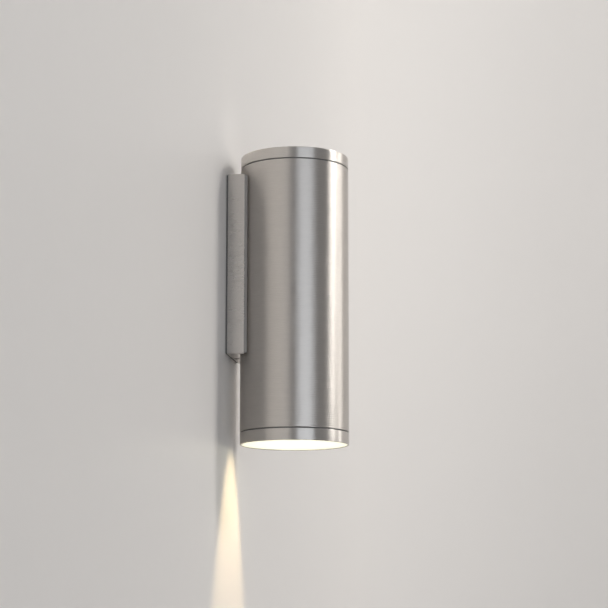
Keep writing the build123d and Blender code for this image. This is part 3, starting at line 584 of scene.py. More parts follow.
def lamp_surface(shape):
    """The reflector lamp's shell turned from one outline, with cooling flutes down its flank.

    The flank is the parabola through its rim, its bulge and its waist. A flute is a cosine of the angle, and
    its depth fades to nothing at both ends of the flank.
    """
    rim_z, waist, neck, recess = LAMP_FACE_Z + 4.5, 14.0, 7.6, LAMP_FACE_Z + 2.0
    t = np.linspace(0, 1, 40)[:, None]
    middle = np.array([(LAMP_RADIUS + waist) / 2 + 1.5, (rim_z + LAMP_WAIST_Z) / 2])
    first, last = np.array([LAMP_RADIUS, rim_z]), np.array([waist, LAMP_WAIST_Z])
    flank = (1 - t) * (1 - 2 * t) * first + 4 * t * (1 - t) * middle + t * (2 * t - 1) * last
    cup, floor_z = LAMP_RADIUS - 2.6, LAMP_FACE_Z + 13.0
    slope = math.tan(math.radians(18.0))
    floor_radius, step_radius = (cup - 1.4 - (z - LAMP_FACE_Z) * slope for z in (floor_z, recess))
    inside = rounded_outline(
        [(waist, LAMP_WAIST_Z), (neck, LAMP_WAIST_Z), (neck, floor_z), (floor_radius, floor_z),
         (step_radius, recess), (cup, recess), (cup, LAMP_FACE_Z), (LAMP_RADIUS, LAMP_FACE_Z),
         (LAMP_RADIUS, rim_z)],
        [0.3, 0.3, 0.3, 0.3, 0.1, 0.1, 0.3, 0.5, 0.3], closed=False)[1:-1]
    outline = np.concatenate([flank, inside])
    depth = shape.flute_depth / MM
    on_flank = np.zeros(len(outline))
    on_flank[: len(flank)] = np.sin(math.pi * np.linspace(0, 1, len(flank))) ** 0.5

    def flutes(angle):
        """Depth of the flutes on each outline point at an angle."""
        return -on_flank[:, None] * depth * (0.5 - 0.5 * np.cos(shape.flute_count * angle))

    return turned(outline, max(shape.flute_count * 12, 96), True, flutes)


def grommet_surface():
    """The cable grommet turned about its own axis, square to the wall, with full round lips on its flange."""
    flange, neck, bore = high("cable_grommet", 0), 6.0, 3.5
    back, seat, front = 0.0, 1.5, -low("cable_grommet", 1)
    outline = rounded_outline(
        [(bore, back), (neck, back), (neck, seat), (flange, seat), (flange, front), (bore, front)],
        [0.5, 0.35, 0.1, 0.35, 0.45, 0.6], support=0.1)
    points, quads, uvs = turned(outline, 96, True, centre=(0.0, 0.0))
    return np.stack([points[:, 0], -points[:, 2], points[:, 1]], axis=1), quads, uvs


# ---------------------------------------------------------------- node helpers and shared effects


def feed(tree, socket, value):
    """Links a socket to another one, or sets it to a plain value."""
    if isinstance(value, bpy.types.NodeSocket):
        tree.links.new(value, socket)
    else:
        socket.default_value = value


def add(tree, kind, **settings):
    """New node: attributes by name, and sockets by a leading in_ and their name or number."""
    node = tree.nodes.new(kind)
    for key, value in settings.items():
        if key.startswith("in_"):
            place = key[3:].replace("_", " ")
            feed(tree, node.inputs[int(place) if place.isdigit() else place], value)
        else:
            setattr(node, key, value)
    return node


def maths(tree, operation, *values):
    """Result of a Math node whose inputs are sockets or numbers."""
    node = add(tree, "ShaderNodeMath", operation=operation)
    for socket, value in zip(node.inputs, values):
        feed(tree, socket, value)
    return node.outputs[0]


def vary(tree, value, spread, middle):
    """A value from 0 to 1 made to vary about a middle: value times spread + middle - spread / 2."""
    return maths(tree, "MULTIPLY_ADD", value, spread, middle - spread / 2)


def weighted(tree, share, first, second):
    """The first value times a share plus the second times the rest, 1 - share."""
    return maths(tree, "MULTIPLY_ADD", first, share, maths(tree, "MULTIPLY", second, 1.0 - share))


def blend_colours(tree, share, first, second):
    """Mix of two colours, each a socket or a value, by a share."""
    first, second = (
        value if isinstance(value, bpy.types.NodeSocket) else (*value[:3], 1.0) for value in (first, second))
    return add(tree, "ShaderNodeMix", data_type="RGBA", in_0=share, in_6=first, in_7=second).outputs[2]


def vector_maths(tree, operation, first, second):
    """Result of a Vector Math node whose inputs are sockets or vectors."""
    return add(tree, "ShaderNodeVectorMath", operation=operation, in_0=first, in_1=second).outputs[0]


def noise(tree, place, scale, detail, roughness=0.5):
    """Noise between 0 and 1."""
    node = add(
        tree, "ShaderNodeTexNoise", in_Vector=place, in_Scale=scale, in_Detail=detail, in_Roughness=roughness)
    return node.outputs[0]


def open_effect(name, **numbers):
    """New shader node group that takes a Vector and the named numbers, with its inputs."""
    group = bpy.data.node_groups.new(name, "ShaderNodeTree")
    group.interface.new_socket(name="Vector", in_out="INPUT", socket_type="NodeSocketVector")
    for label, value in numbers.items():
        socket = group.interface.new_socket(name=label, in_out="INPUT", socket_type="NodeSocketFloat")
        socket.default_value = value
    return group, group.nodes.new("NodeGroupInput").outputs


def close_effect(group, **results):
    """Gives a shader node group its named results."""
    for label in results:
        group.interface.new_socket(name=label, in_out="OUTPUT", socket_type="NodeSocketFloat")
    stop = group.nodes.new("NodeGroupOutput")
    for label, value in results.items():
        feed(group, stop.inputs[label], value)
    return group


def brushing_effect():
    """Brushing marks: noise drawn out along the second coordinate, fine over coarse.

    The strokes are a sine across the marks, shifted and faded by slower noise. The tone changes slowly.
    """
    group, given = open_effect("brushing_marks", Across=3000.0, Along=150.0, Seed=0.0)
    stretch = add(
        group, "ShaderNodeCombineXYZ", in_X=given["Across"], in_Y=given["Along"], in_Z=given["Along"])
    scaled = vector_maths(group, "MULTIPLY", given["Vector"], stretch.outputs[0])
    place = vector_maths(group, "ADD", scaled, given["Seed"])
    drawn = vector_maths(group, "MULTIPLY", place, (0.16, 0.3, 0.3))
    across = add(group, "ShaderNodeSeparateXYZ", in_0=place).outputs["X"]
    drift = maths(group, "MULTIPLY", noise(group, drawn, 1.0, 1.0), 9.0)
    wave = maths(group, "SINE", maths(group, "MULTIPLY_ADD", across, 4.0, drift))
    comb = maths(group, "MULTIPLY", wave, noise(group, drawn, 2.6, 1.0))
    return close_effect(
        group,
        Marks=weighted(group, 0.62, noise(group, place, 1.0, 3.0, 0.62), noise(group, place, 0.23, 2.0)),
        Strokes=maths(group, "ADD", comb, 0.5),
        Tone=noise(group, given["Vector"], 38.0, 2.0))


def grain_effect():
    """Moulded or cast grain: two sizes of noise, given as a value about a half and as a height."""
    group, given = open_effect("moulded_grain", Scale=900.0, Contrast=1.0)
    fine = noise(group, given["Vector"], given["Scale"], 3.0, 0.6)
    broad = noise(group, given["Vector"], maths(group, "MULTIPLY", given["Scale"], 0.12), 2.0)
    mixed = maths(group, "SUBTRACT", weighted(group, 0.5, fine, broad), 0.5)
    return close_effect(group, Shade=maths(group, "MULTIPLY_ADD", mixed, given["Contrast"], 0.5), Height=fine)


def spangle_effect():
    """Zinc spangle: irregular crystal cells, each with its own shade, broken by fine noise."""
    group, given = open_effect("zinc_spangle", Scale=260.0)
    cells = add(
        group, "ShaderNodeTexVoronoi", feature="F1", distance="EUCLIDEAN", in_Vector=given["Vector"],
        in_Scale=given["Scale"])
    fine = noise(group, given["Vector"], maths(group, "MULTIPLY", given["Scale"], 4.0), 4.0, 0.6)
    own_shade = add(group, "ShaderNodeSeparateColor", in_0=cells.outputs["Color"]).outputs[0]
    return close_effect(group, Shade=weighted(group, 0.65, own_shade, fine), Height=fine)


EFFECTS = {}


def place_effect(tree, build, place, **values):
    """Results of a shared effect at a place. Its node group is built the first time that it is asked for."""
    if build not in EFFECTS:
        EFFECTS[build] = build()
    node = add(tree, "ShaderNodeGroup", node_tree=EFFECTS[build])
    feed(tree, node.inputs["Vector"], place)
    for key, value in values.items():
        node.inputs[key].default_value = value
    return node.outputs


# ---------------------------------------------------------------- finishes


def base_finish(name, **constants):
    """New material with a Principled shader whose constant sockets are set, its tree and its inputs."""
    material = bpy.data.materials.new(name)
    material.use_nodes = True
    tree = material.node_tree
    tree.nodes.clear()
    shader = add(tree, "ShaderNodeBsdfPrincipled", **{"in_" + key: value for key, value in constants.items()})
    add(tree, "ShaderNodeOutputMaterial", in_Surface=shader.outputs[0])
    return material, tree, shader.inputs


def own_place(tree):
    """The piece's own coordinates."""
    return add(tree, "ShaderNodeTexCoord").outputs["Object"]


def relief(tree, inputs, height, strength, depth, **more):
    """Bump from a height between 0 and 1, times a depth in metres, into the shader's normal."""
    bump = add(tree, "ShaderNodeBump", in_Strength=strength, in_Distance=depth, in_Height=height, **more)
    feed(tree, inputs["Normal"], bump.outputs[0])


def either_shader(tree, share, second):
    """Puts a second shader in place of a material's own one, by a share."""
    stop = tree.nodes["Material Output"].inputs[0]
    own = stop.links[0].from_socket
    both = add(tree, "ShaderNodeMixShader", in_0=share, in_1=own, in_2=second.outputs[0])
    feed(tree, stop, both.outputs[0])


def brushed_finish(name, style, tone, roughness, anisotropy, seed, depth, lean):
    """Brushed metal: its marks vary the roughness, the colour and a shallow relief. tone names its property.

    With anisotropy, the marks run along the piece's second flow coordinate and the shader's tangent crosses
    them, so highlights spread across them, and each stroke leans the surface a little along its own length.
    Without it, the marks change with depth from the wall, so they run along x and z.
    """
    material, tree, inputs = base_finish(name, Metallic=1.0, IOR=1.5, Anisotropic=anisotropy)
    leaning = {}
    if anisotropy:
        place = add(tree, "ShaderNodeUVMap", uv_map="flow").outputs[0]
        tangent = add(tree, "ShaderNodeTangent", direction_type="UV_MAP", uv_map="flow")
        feed(tree, inputs["Tangent"], tangent.outputs[0])
    else:
        turn = add(
            tree, "ShaderNodeMapping", vector_type="POINT", in_Vector=own_place(tree),
            in_Rotation=(0.0, 0.0, math.pi / 2))
        place = turn.outputs[0]
    marks = place_effect(
        tree, brushing_effect, place, Seed=seed,
        Across=1.0 / style.grain_width, Along=1.0 / style.grain_length)
    if anisotropy:
        sway = add(
            tree, "ShaderNodeCombineColor", in_0=0.5, in_1=vary(tree, marks["Strokes"], lean, 0.5), in_2=1.0)
        normal = add(tree, "ShaderNodeNormalMap", space="TANGENT", uv_map="flow", in_Color=sway.outputs[0])
        leaning = {"in_Normal": normal.outputs[0]}
    shade = maths(
        tree, "MULTIPLY_ADD", marks["Marks"], 0.9, maths(tree, "MULTIPLY_ADD", marks["Tone"], 0.25, -0.08))
    metal = getattr(style, tone)
    dark = tuple(c * 0.86 for c in metal)
    light = tuple(min(1.0, c * 1.08) for c in metal)
    feed(tree, inputs["Base Color"], blend_colours(tree, shade, dark, light))
    rough = vary(tree, marks["Tone"], 0.08, roughness)
    feed(tree, inputs["Roughness"], maths(tree, "ADD", vary(tree, marks["Marks"], 0.16, 0.0), rough))
    relief(tree, inputs, marks["Marks"], 1.0, depth, **leaning)
    return material


def grained_finish(name, dark, light, scale, roughness, spread, strength, depth, contrast=1.0, **constants):
    """Moulded, cast or coated surface: grain mixes two colours, varies the roughness and gives a relief."""
    material, tree, inputs = base_finish(name, **constants)
    grain = place_effect(tree, grain_effect, own_place(tree), Scale=scale, Contrast=contrast)
    feed(tree, inputs["Base Color"], blend_colours(tree, grain["Shade"], dark, light))
    feed(tree, inputs["Roughness"], vary(tree, grain["Shade"], spread, roughness))
    relief(tree, inputs, grain["Height"], strength, depth)
    return material


def spangled_finish(name, dark, light, scale, roughness):
    """Zinc-coated steel or plated metal: crystal cells mix two tones and vary the roughness."""
    material, tree, inputs = base_finish(name, Metallic=1.0)
    cells = place_effect(tree, spangle_effect, own_place(tree), Scale=scale)
    feed(tree, inputs["Base Color"], blend_colours(tree, cells["Shade"], dark, light))
    feed(tree, inputs["Roughness"], vary(tree, cells["Shade"], 0.18, roughness))
    relief(tree, inputs, cells["Height"], 0.15, 0.00002)
    return material


def glowing_finish(name, body, glow, strength, radius, rim_share):
    """Lit diffuser about the tube's axis, with a fine relief, whose glow falls towards the rim.

    The fall is the fifth power of the distance from the axis over the radius.
    """
    material, tree, inputs = base_finish(name, Emission_Strength=strength)
    place = own_place(tree)
    offset = vector_maths(tree, "SUBTRACT", place, (0.0, AXIS_Y * MM, 0.0))
    flat = vector_maths(tree, "MULTIPLY", offset, (1.0, 1.0, 0.0))
    away = add(tree, "ShaderNodeVectorMath", operation="LENGTH", in_0=flat).outputs["Value"]
    share = maths(tree, "POWER", maths(tree, "DIVIDE", away, radius), 5.0)
    rim = tuple(c * rim_share for c in glow)
    feed(tree, inputs["Emission Color"], blend_colours(tree, maths(tree, "MINIMUM", share, 1.0), glow, rim))
    grain = place_effect(tree, grain_effect, place, Scale=2600.0, Contrast=0.6)
    feed(tree, inputs["Base Color"], blend_colours(tree, grain["Shade"], tuple(c * 0.94 for c in body), body))
    feed(tree, inputs["Roughness"], vary(tree, grain["Shade"], 0.12, 0.5))
    relief(tree, inputs, grain["Height"], 0.2, 0.00003)
    return material


# Brushed metals, each with the property that holds its colour. A seed sets its marks apart, and the depth of
# their relief is in metres.
BRUSHED = {
    "tube_brushed": dict(
        tone="tube_tone", roughness=0.335, anisotropy=0.97, seed=3.0, depth=0.00006, lean=0.062),
    "ring_brushed": dict(
        tone="ring_tone", roughness=0.34, anisotropy=0.95, seed=17.0, depth=0.00004, lean=0.02),
    "box_brushed": dict(
        tone="box_tone", roughness=0.26, anisotropy=0.8, seed=41.0, depth=0.00002, lean=0.01),
    # The saddle's tone is darkened as painted shade of the gap between box and tube.
    "saddle_metal": dict(
        tone="saddle_shade_tone", roughness=0.42, anisotropy=0.0, seed=5.0, depth=0.00002, lean=0.0),
}

# Zinc-coated and plated metals. Their scale is in crystals to a metre.
SPANGLED = {
    "sheet_steel": dict(dark=(0.40, 0.41, 0.42), light=(0.72, 0.73, 0.74), scale=240.0, roughness=0.36),
    "fastener_steel": dict(dark=(0.50, 0.50, 0.49), light=(0.78, 0.78, 0.76), scale=900.0, roughness=0.30),
    "contact_brass": dict(dark=(0.62, 0.44, 0.16), light=(0.86, 0.66, 0.30), scale=700.0, roughness=0.28),
    "lamp_pin_nickel": dict(dark=(0.60, 0.58, 0.52), light=(0.80, 0.78, 0.72), scale=1200.0, roughness=0.24),
}

# Mouldings, ceramics, paints, laminate and fibre. Their scale is in grains to a metre. A word with capitals
# is a socket of the shader.
GRAINED = {
    "seal_rubber": dict(
        dark=(0.13, 0.127, 0.123), light=(0.21, 0.205, 0.20), scale=1400.0, contrast=1.4,
        roughness=0.62, spread=0.2, strength=0.25, depth=0.00004),
    "lens_seal_silicone": dict(
        dark=(0.66, 0.66, 0.64), light=(0.82, 0.82, 0.80), scale=1200.0,
        roughness=0.5, spread=0.15, strength=0.15, depth=0.00003, Subsurface_Weight=0.15),
    "block_nylon": dict(
        dark=(0.72, 0.70, 0.64), light=(0.86, 0.85, 0.80), scale=1100.0,
        roughness=0.45, spread=0.14, strength=0.2, depth=0.00003),
    "holder_ceramic": dict(
        dark=(0.78, 0.75, 0.68), light=(0.90, 0.88, 0.83), scale=700.0, contrast=1.2,
        roughness=0.38, spread=0.2, strength=0.2, depth=0.00004, Coat_Weight=0.3, Coat_Roughness=0.2),
    "live_insulation": dict(
        dark=(0.09, 0.035, 0.015), light=(0.15, 0.06, 0.028), scale=1500.0,
        roughness=0.38, spread=0.12, strength=0.12, depth=0.00002),
    "neutral_insulation": dict(
        dark=(0.015, 0.09, 0.32), light=(0.03, 0.14, 0.42), scale=1500.0,
        roughness=0.38, spread=0.12, strength=0.12, depth=0.00002),
    "earth_insulation": dict(
        dark=(0.05, 0.24, 0.03), light=(0.62, 0.60, 0.03), scale=320.0, contrast=6.0,
        roughness=0.38, spread=0.1, strength=0.1, depth=0.00002),
    "sleeve_fibre": dict(
        dark=(0.68, 0.66, 0.58), light=(0.86, 0.85, 0.79), scale=2200.0, contrast=1.8,
        roughness=0.72, spread=0.15, strength=0.5, depth=0.00008),
    "lamp_shell": dict(
        dark=(0.62, 0.63, 0.63), light=(0.78, 0.78, 0.77), scale=1300.0,
        roughness=0.34, spread=0.16, strength=0.18, depth=0.00003, Metallic=0.85),
    "lamp_base_plastic": dict(
        dark=(0.80, 0.79, 0.75), light=(0.89, 0.88, 0.85), scale=1000.0,
        roughness=0.42, spread=0.14, strength=0.15, depth=0.00003),
    "led_board_white": dict(
        dark=(0.80, 0.80, 0.80), light=(0.92, 0.92, 0.91), scale=900.0,
        roughness=0.4, spread=0.12, strength=0.12, depth=0.00002),
    "driver_laminate": dict(
        dark=(0.015, 0.11, 0.04), light=(0.04, 0.20, 0.08), scale=1600.0, contrast=1.6,
        roughness=0.36, spread=0.14, strength=0.2, depth=0.00003, Coat_Weight=0.4),
    "lamp_window_clear": dict(
        dark=(0.94, 0.94, 0.92), light=(0.98, 0.98, 0.97), scale=500.0, contrast=0.6,
        roughness=0.12, spread=0.06, strength=0.05, depth=0.00002, Transmission_Weight=0.8),
}


def led_finish(name):
    """The lamp's lit phosphor, yellow where its glow is faint."""
    return glowing_finish(
        name, body=(0.95, 0.76, 0.24), glow=(1.0, 0.86, 0.62), strength=2.0, radius=0.02, rim_share=0.9)


def lens_finish(name, style):
    """The lit frosted lens, whose rim glows less than its middle."""
    return glowing_finish(
        name, body=(0.95, 0.94, 0.91), glow=style.glow, strength=style.glow_strength,
        radius=LENS_RADIUS * MM, rim_share=0.74)


def make_finish(name, style):
    """The finish of one of the record's material slots."""
    if name in BRUSHED:
        return brushed_finish(name, style, **BRUSHED[name])
    if name in SPANGLED:
        return spangled_finish(name, **SPANGLED[name])
    if name in GRAINED:
        return grained_finish(name, **GRAINED[name])
    if name == "led_phosphor":
        return led_finish(name)
    if name == "lens_frosted":
        return lens_finish(name, style)
    raise RuntimeError(f"no finish is written for the slot {name}")


def finish_for(slot):
    """The material of a slot, made once."""
    found = bpy.data.materials.get("finish_" + slot)
    if found is None:
        found = make_finish(slot, bpy.context.scene.tube_light_finish)
        found.name = "finish_" + slot
    return found


def dress_piece(piece, slot, *nodes):
    """Gives a new piece its finish and slot, and hides the frame nodes that it stands for."""
    piece.data.materials.append(finish_for(slot))
    if nodes:
        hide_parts(*nodes)


def dress_nodes(*names):
    """Gives frame nodes whose shape stays the finish of their own slot."""
    for name in names:
        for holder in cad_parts[name].material_slots:
            holder.material = finish_for(NODE_SLOT[name])


# ---------------------------------------------------------------- operators


class TUBELIGHT_OT_tube(bpy.types.Operator):
    """Build the brushed tube with its threaded end, rear window and screw holes"""

    bl_idname = "tubelight.tube"
    bl_label = "Tube"

    def execute(self, context):
        surface = tube_surface(context.scene.tube_light_shape)
        dress_piece(make_piece("tube_shell", *surface), "tube_brushed", "tube_body")
        return {"FINISHED"}


class TUBELIGHT_OT_rings(bpy.types.Operator):
    """Build the blind cap and the screwed bezel ring, and finish the two seam seals"""

    bl_idname = "tubelight.rings"
    bl_label = "Cap and bezel ring"

    def execute(self, context):
        shape = context.scene.tube_light_shape
        cap = make_piece("cap_shell", *cap_surface(shape), sharp=50.0)
        dress_piece(cap, "ring_brushed", "top_cap")
        bezel = make_piece("bezel_shell", *bezel_surface(shape), body="bezel")
        dress_piece(bezel, "ring_brushed", "bezel_ring")
        dress_nodes("cap_seal", "bezel_seal")
        return {"FINISHED"}


class TUBELIGHT_OT_lens(bpy.types.Operator):
    """Build the lit frosted lens and finish its seal"""

    bl_idname = "tubelight.lens"
    bl_label = "Lens"

    def execute(self, context):
        surface = lens_surface(context.scene.tube_light_shape)
        dress_piece(make_piece("lens_disc", *surface, body="lens_pack"), "lens_frosted", "lens")
        dress_nodes("lens_seal")
        return {"FINISHED"}


class TUBELIGHT_OT_wall_box(bpy.types.Operator):
    """Build the wall box's surround, its wall seal and the cable grommet, and finish what it holds"""

    bl_idname = "tubelight.wall_box"
    bl_label = "Wall box"

    def execute(self, context):
        surface = cover_surface(context.scene.tube_light_shape)
        dress_piece(make_piece("cover_shell", *surface), "box_brushed", "backplate_cover")
        dress_piece(make_piece("gasket_frame", *gasket_surface()), "seal_rubber", "wall_seal")
        dress_piece(make_piece("grommet_ring", *grommet_surface()), "seal_rubber", "cable_grommet")
        dress_nodes("saddle", "wall_bracket", "grub_screws", "saddle_screws", "saddle_nuts")
        return {"FINISHED"}


class TUBELIGHT_OT_lamp(bpy.types.Operator):
    """Build the lamp's fluted shell and finish the lamp and its holder"""

    bl_idname = "tubelight.lamp"
    bl_label = "Lamp and holder"

    def execute(self, context):
        surface = lamp_surface(context.scene.tube_light_shape)
        dress_piece(make_piece("lamp_flutes", *surface, body="lamp"), "lamp_shell", "lamp_housing")
        dress_nodes(
            "lamp_window", "led_board", "led_chips", "lamp_base", "driver_board", "lamp_pins", "lamp_holder",
            "holder_contacts", "holder_bracket", "holder_screws", "holder_nuts")
        return {"FINISHED"}


class TUBELIGHT_OT_wiring(bpy.types.Operator):
    """Finish the terminal block, the wires and the earth connection"""

    bl_idname = "tubelight.wiring"
    bl_label = "Wiring"

    def execute(self, context):
        dress_nodes(
            "terminal_block", "terminal_connectors", "terminal_screws", "block_screws", "live_wire",
            "neutral_wire", "earth_wire", "wire_sleeves", "earth_tag", "earth_plug", "earth_screw",
            "earth_nut")
        return {"FINISHED"}


# ---------------------------------------------------------------- room, lamps and camera


def smooth_rise(tree, value, first, last):
    """Smooth rise from 0 to 1 between two values: t squared times 3 - 2 t."""
    ramp = add(
        tree, "ShaderNodeMapRange", interpolation_type="SMOOTHSTEP", in_0=value, in_From_Min=first,
        in_From_Max=last)
    return ramp.outputs[0]


def plaster_finish(name, tone):
    """Painted plaster: a faint mottle and a roller's fine relief.

    It is satin round the light. Painted light makes its colour paler on the main wall to the light's right
    and lower down, by places in metres. From behind, it lets the eye through.
    """
    material, tree, inputs = base_finish(name)
    place = own_place(tree)
    grain = place_effect(tree, grain_effect, place, Scale=60.0, Contrast=0.9)
    x, y, z = add(tree, "ShaderNodeSeparateXYZ", in_0=place).outputs
    # Painted light: the colour is lifted towards a paler tone to the right, lower down and near the main
    # wall, where more light falls.
    aside = maths(tree, "MULTIPLY_ADD", z, -0.9, x)
    paler = maths(tree, "MULTIPLY", smooth_rise(tree, aside, -0.35, 0.70), smooth_rise(tree, y, -0.22, 0.02))
    paint = blend_colours(tree, grain["Shade"], tuple(c * 0.965 for c in tone), tone)
    painted_light_tone = tuple(min(1.0, c * 1.07) for c in tone)
    feed(tree, inputs["Base Color"], blend_colours(tree, paler, paint, painted_light_tone))
    matt = maths(tree, "MULTIPLY_ADD", smooth_rise(tree, x, 0.35, 0.70), 0.5, 0.40)
    feed(tree, inputs["Roughness"], maths(tree, "MULTIPLY_ADD", grain["Shade"], 0.05, matt))
    relief(tree, inputs, grain["Height"], 0.05, 0.0004)
    facing = add(tree, "ShaderNodeNewGeometry").outputs["Backfacing"]
    either_shader(tree, facing, add(tree, "ShaderNodeBsdfTransparent"))
    return material


def floor_finish(name, tone):
    """Plain floor with a faint mottle, which the eye sees paler than it lights the room."""
    material, tree, inputs = base_finish(name, Roughness=0.8)
    grain = place_effect(tree, grain_effect, own_place(tree), Scale=14.0, Contrast=0.8)
    feed(tree, inputs["Base Color"], blend_colours(tree, grain["Shade"], tuple(c * 0.94 for c in tone), tone))
    seen = blend_colours(tree, grain["Shade"], (0.60, 0.588, 0.575), (0.64, 0.628, 0.614))
    to_eye = add(tree, "ShaderNodeLightPath").outputs["Is Camera Ray"]
    either_shader(tree, to_eye, add(tree, "ShaderNodeEmission", in_Color=seen))
    return material


def room_surface():
    """The room's two walls: a plan line carried upwards, open behind the box.

    The line turns through a cove, the arc centre + radius (sin a, cos a).
    """
    left_x, corner_x, cove, side_y, top_z = -4200.0, 1100.0, 450.0, -3600.0, 2400.0
    half_width, half_height = 16.5, 48.0
    angle = np.linspace(0, math.pi / 2, 61)
    bend = np.stack([corner_x - cove + cove * np.sin(angle), -cove + cove * np.cos(angle)], axis=1)
    straight = np.concatenate([
        np.linspace(left_x, -40, 12), [-half_width, half_width], np.linspace(40, corner_x - cove - 1, 8)])
    plan = np.concatenate([
        np.stack([straight, np.zeros(len(straight))], axis=1), bend,
        np.stack([np.full(10, corner_x), np.linspace(-cove - 10, side_y, 10)], axis=1)])
    heights = np.concatenate([
        np.linspace(FLOOR_Z, -60, 6), [-half_height, half_height], np.linspace(60, top_z, 8)])
    points = np.zeros((len(heights), len(plan), 3))
    points[..., :2] = plan + [0.0, 0.1]
    points[..., 2] = heights[:, None]
    index = ring_index(len(heights), len(plan), False, False)
    keep = ~np.outer(
        cells_between(heights, -half_height, half_height), cells_between(plan[:, 0], -half_width, half_width))
    return points.reshape(-1, 3), grid_quads(index, np.zeros((*index.shape, 2)), keep)[0]


def stage_mesh(name, points, quads, material):
    """Stage object from points in millimetres and quads."""
    mesh = bpy.data.meshes.new(name)
    mesh.from_pydata((points * MM).tolist(), [], quads.tolist())
    mesh.shade_smooth()
    mesh.materials.append(material)
    thing = place_object(name, mesh)
    return thing


def soft_lamp(name, azimuth, elevation, distance, width, height, radiance, tone):
    """Square-on area lamp: its power is radiance times pi times area, so its face shows at that level.

    azimuth is measured from straight out of the wall towards +X, and elevation upwards, both in degrees.
    """
    a, e = math.radians(azimuth), math.radians(elevation)
    away = Vector((math.sin(a) * math.cos(e), -math.cos(a) * math.cos(e), math.sin(e)))
    data = bpy.data.lights.new(name, "AREA")
    data.shape = "RECTANGLE"
    data.size, data.size_y = width, height
    data.energy = radiance * math.pi * width * height
    data.color = tone
    middle = Vector((0.0, AXIS_Y * MM, -0.018))
    lamp = place_object(name, data)
    lamp.location = middle + away * distance
    lamp.rotation_mode = "QUATERNION"
    lamp.rotation_quaternion = away.to_track_quat("Z", "Y")


def own_beam(studio, wall):
    """The light's own beam, which reaches the wall alone: a spot inside the tube, turned slightly aside."""
    beam = bpy.data.lights.new("own_beam", "SPOT")
    beam.energy, beam.color = studio.beam_power, studio.beam_tone
    beam.spot_size, beam.spot_blend = math.radians(44.0), 0.45
    beam.shadow_soft_size, beam.use_shadow = 0.0, False
    source = place_object("own_beam", beam)
    source.location = (0.005, AXIS_Y * MM, -0.010)
    source.rotation_euler = (0.0, math.radians(2.0), 0.0)
    lit_by_beam = bpy.data.collections.new("lit_by_beam")
    lit_by_beam.objects.link(wall)
    source.light_linking.receiver_collection = lit_by_beam


def room_light(studio):
    """World: light that rises in level towards the zenith, and a plain pale tone for the eye."""
    world = bpy.data.worlds.new("room_light")
    bpy.context.scene.world = world
    world.use_nodes = True
    tree = world.node_tree
    tree.nodes.clear()
    around = add(tree, "ShaderNodeTexCoord").outputs["Generated"]
    height = add(tree, "ShaderNodeSeparateXYZ", in_0=around).outputs["Z"]
    rise = maths(tree, "POWER", maths(tree, "MAXIMUM", height, 0.0), 1.3)
    level = maths(tree, "MULTIPLY_ADD", rise, studio.overhead - studio.ambient, studio.ambient)
    light = add(tree, "ShaderNodeBackground", in_Color=(1.0, 0.99, 1.0, 1.0), in_Strength=level)
    seen = add(tree, "ShaderNodeBackground", in_Color=(0.80, 0.785, 0.77, 1.0), in_Strength=0.85)
    to_eye = add(tree, "ShaderNodeLightPath").outputs["Is Camera Ray"]
    both = add(tree, "ShaderNodeMixShader", in_0=to_eye, in_1=light.outputs[0], in_2=seen.outputs[0])
    add(tree, "ShaderNodeOutputWorld", in_Surface=both.outputs[0])


def photo_camera():
    """Camera at the photograph's place, looking along a bearing from +Y towards +X and pitched upwards."""
    camera = bpy.data.cameras.new("photo_view")
    camera.lens, camera.sensor_width = 114.25, 36.0
    camera.clip_start, camera.clip_end = 0.05, 30.0
    place, bearing, pitch = (-1.04387, -0.18266, -0.2057), math.radians(82.254), math.radians(9.98)
    level = Vector((math.sin(bearing), math.cos(bearing), 0.0))
    right = Vector((level.y, -level.x, 0.0))
    ahead = level * math.cos(pitch) + Vector((0, 0, math.sin(pitch)))
    turn = Matrix((right, right.cross(ahead), -ahead)).transposed()
    eye = place_object("photo_view", camera)
    eye.matrix_world = Matrix.Translation(place) @ turn.to_4x4()
    bpy.context.scene.camera = eye


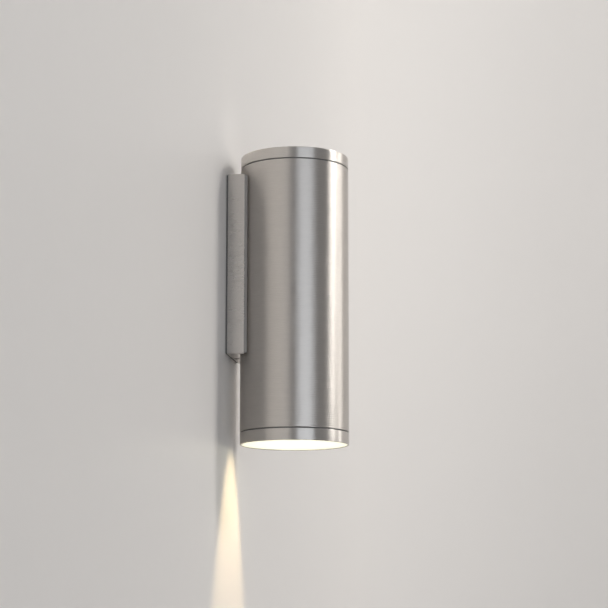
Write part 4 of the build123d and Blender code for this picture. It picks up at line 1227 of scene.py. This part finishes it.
class TUBELIGHT_OT_stage(bpy.types.Operator):
    """Make the room, its lamps, the light's own beam and the camera"""

    bl_idname = "tubelight.stage"
    bl_label = "Room and camera"

    def execute(self, context):
        scene = context.scene
        style, studio = scene.tube_light_finish, scene.tube_light_studio
        wall = stage_mesh("room_walls", *room_surface(), plaster_finish("stage_wall", style.wall_tone))
        side, behind = 4000.0, 200.0
        floor = np.array([
            [x, y, FLOOR_Z] for x, y in ((-side, -side), (side, -side), (side, behind), (-side, behind))])
        square = np.array([[0, 1, 2, 3]])
        stage_mesh("room_floor", floor, square, floor_finish("stage_floor", style.floor_tone))
        room_light(studio)
        soft_lamp(
            "key_lamp", azimuth=18.0, elevation=34.0, distance=2.0, width=0.42, height=0.50,
            radiance=studio.key_level, tone=(1.0, 0.968, 0.93))
        soft_lamp(
            "fill_panel", azimuth=-59.0, elevation=-8.0, distance=3.0, width=1.85, height=2.2,
            radiance=studio.fill_level, tone=(0.85, 0.915, 1.0))
        soft_lamp(
            "side_panel", azimuth=28.5, elevation=14.0, distance=1.2, width=0.20, height=0.70,
            radiance=studio.side_level, tone=(1.0, 0.965, 0.92))
        own_beam(studio, wall)
        photo_camera()
        scene.view_settings.view_transform = "Standard"
        return {"FINISHED"}


class TUBELIGHT_PT_panel(bpy.types.Panel):
    """Lists the pieces of the tube wall light and what can be changed on them"""

    bl_idname = "TUBELIGHT_PT_panel"
    bl_label = "Tube wall light"
    bl_space_type = "VIEW_3D"
    bl_region_type = "UI"
    bl_category = "Tube light"

    def draw(self, context):
        for group in GROUPS:
            box = self.layout.box()
            settings = getattr(context.scene, group)
            for name in settings.__annotations__:
                box.prop(settings, name)
        for operator in OPERATORS:
            self.layout.operator(operator.bl_idname)


GROUPS = {
    "tube_light_shape": TUBELIGHT_PG_shape,
    "tube_light_finish": TUBELIGHT_PG_finish,
    "tube_light_studio": TUBELIGHT_PG_studio,
}
OPERATORS = (
    TUBELIGHT_OT_stage,
    TUBELIGHT_OT_tube,
    TUBELIGHT_OT_rings,
    TUBELIGHT_OT_lens,
    TUBELIGHT_OT_wall_box,
    TUBELIGHT_OT_lamp,
    TUBELIGHT_OT_wiring,
)


def register():
    """Registers the classes and hangs the settings on the scene."""
    for group in GROUPS.values():
        bpy.utils.register_class(group)
    for name, group in GROUPS.items():
        setattr(bpy.types.Scene, name, PointerProperty(type=group))
    for operator in OPERATORS:
        bpy.utils.register_class(operator)
    bpy.utils.register_class(TUBELIGHT_PT_panel)


def unregister():
    """Takes away what register added, in the opposite order."""
    bpy.utils.unregister_class(TUBELIGHT_PT_panel)
    for operator in reversed(OPERATORS):
        bpy.utils.unregister_class(operator)
    for name, group in reversed(GROUPS.items()):
        delattr(bpy.types.Scene, name)
        bpy.utils.unregister_class(group)


def main():
    """Builds everything in order."""
    register()
    for operator in OPERATORS:
        space, action = operator.bl_idname.split(".")
        getattr(getattr(bpy.ops, space), action)()


if __name__ == "__main__":
    main()
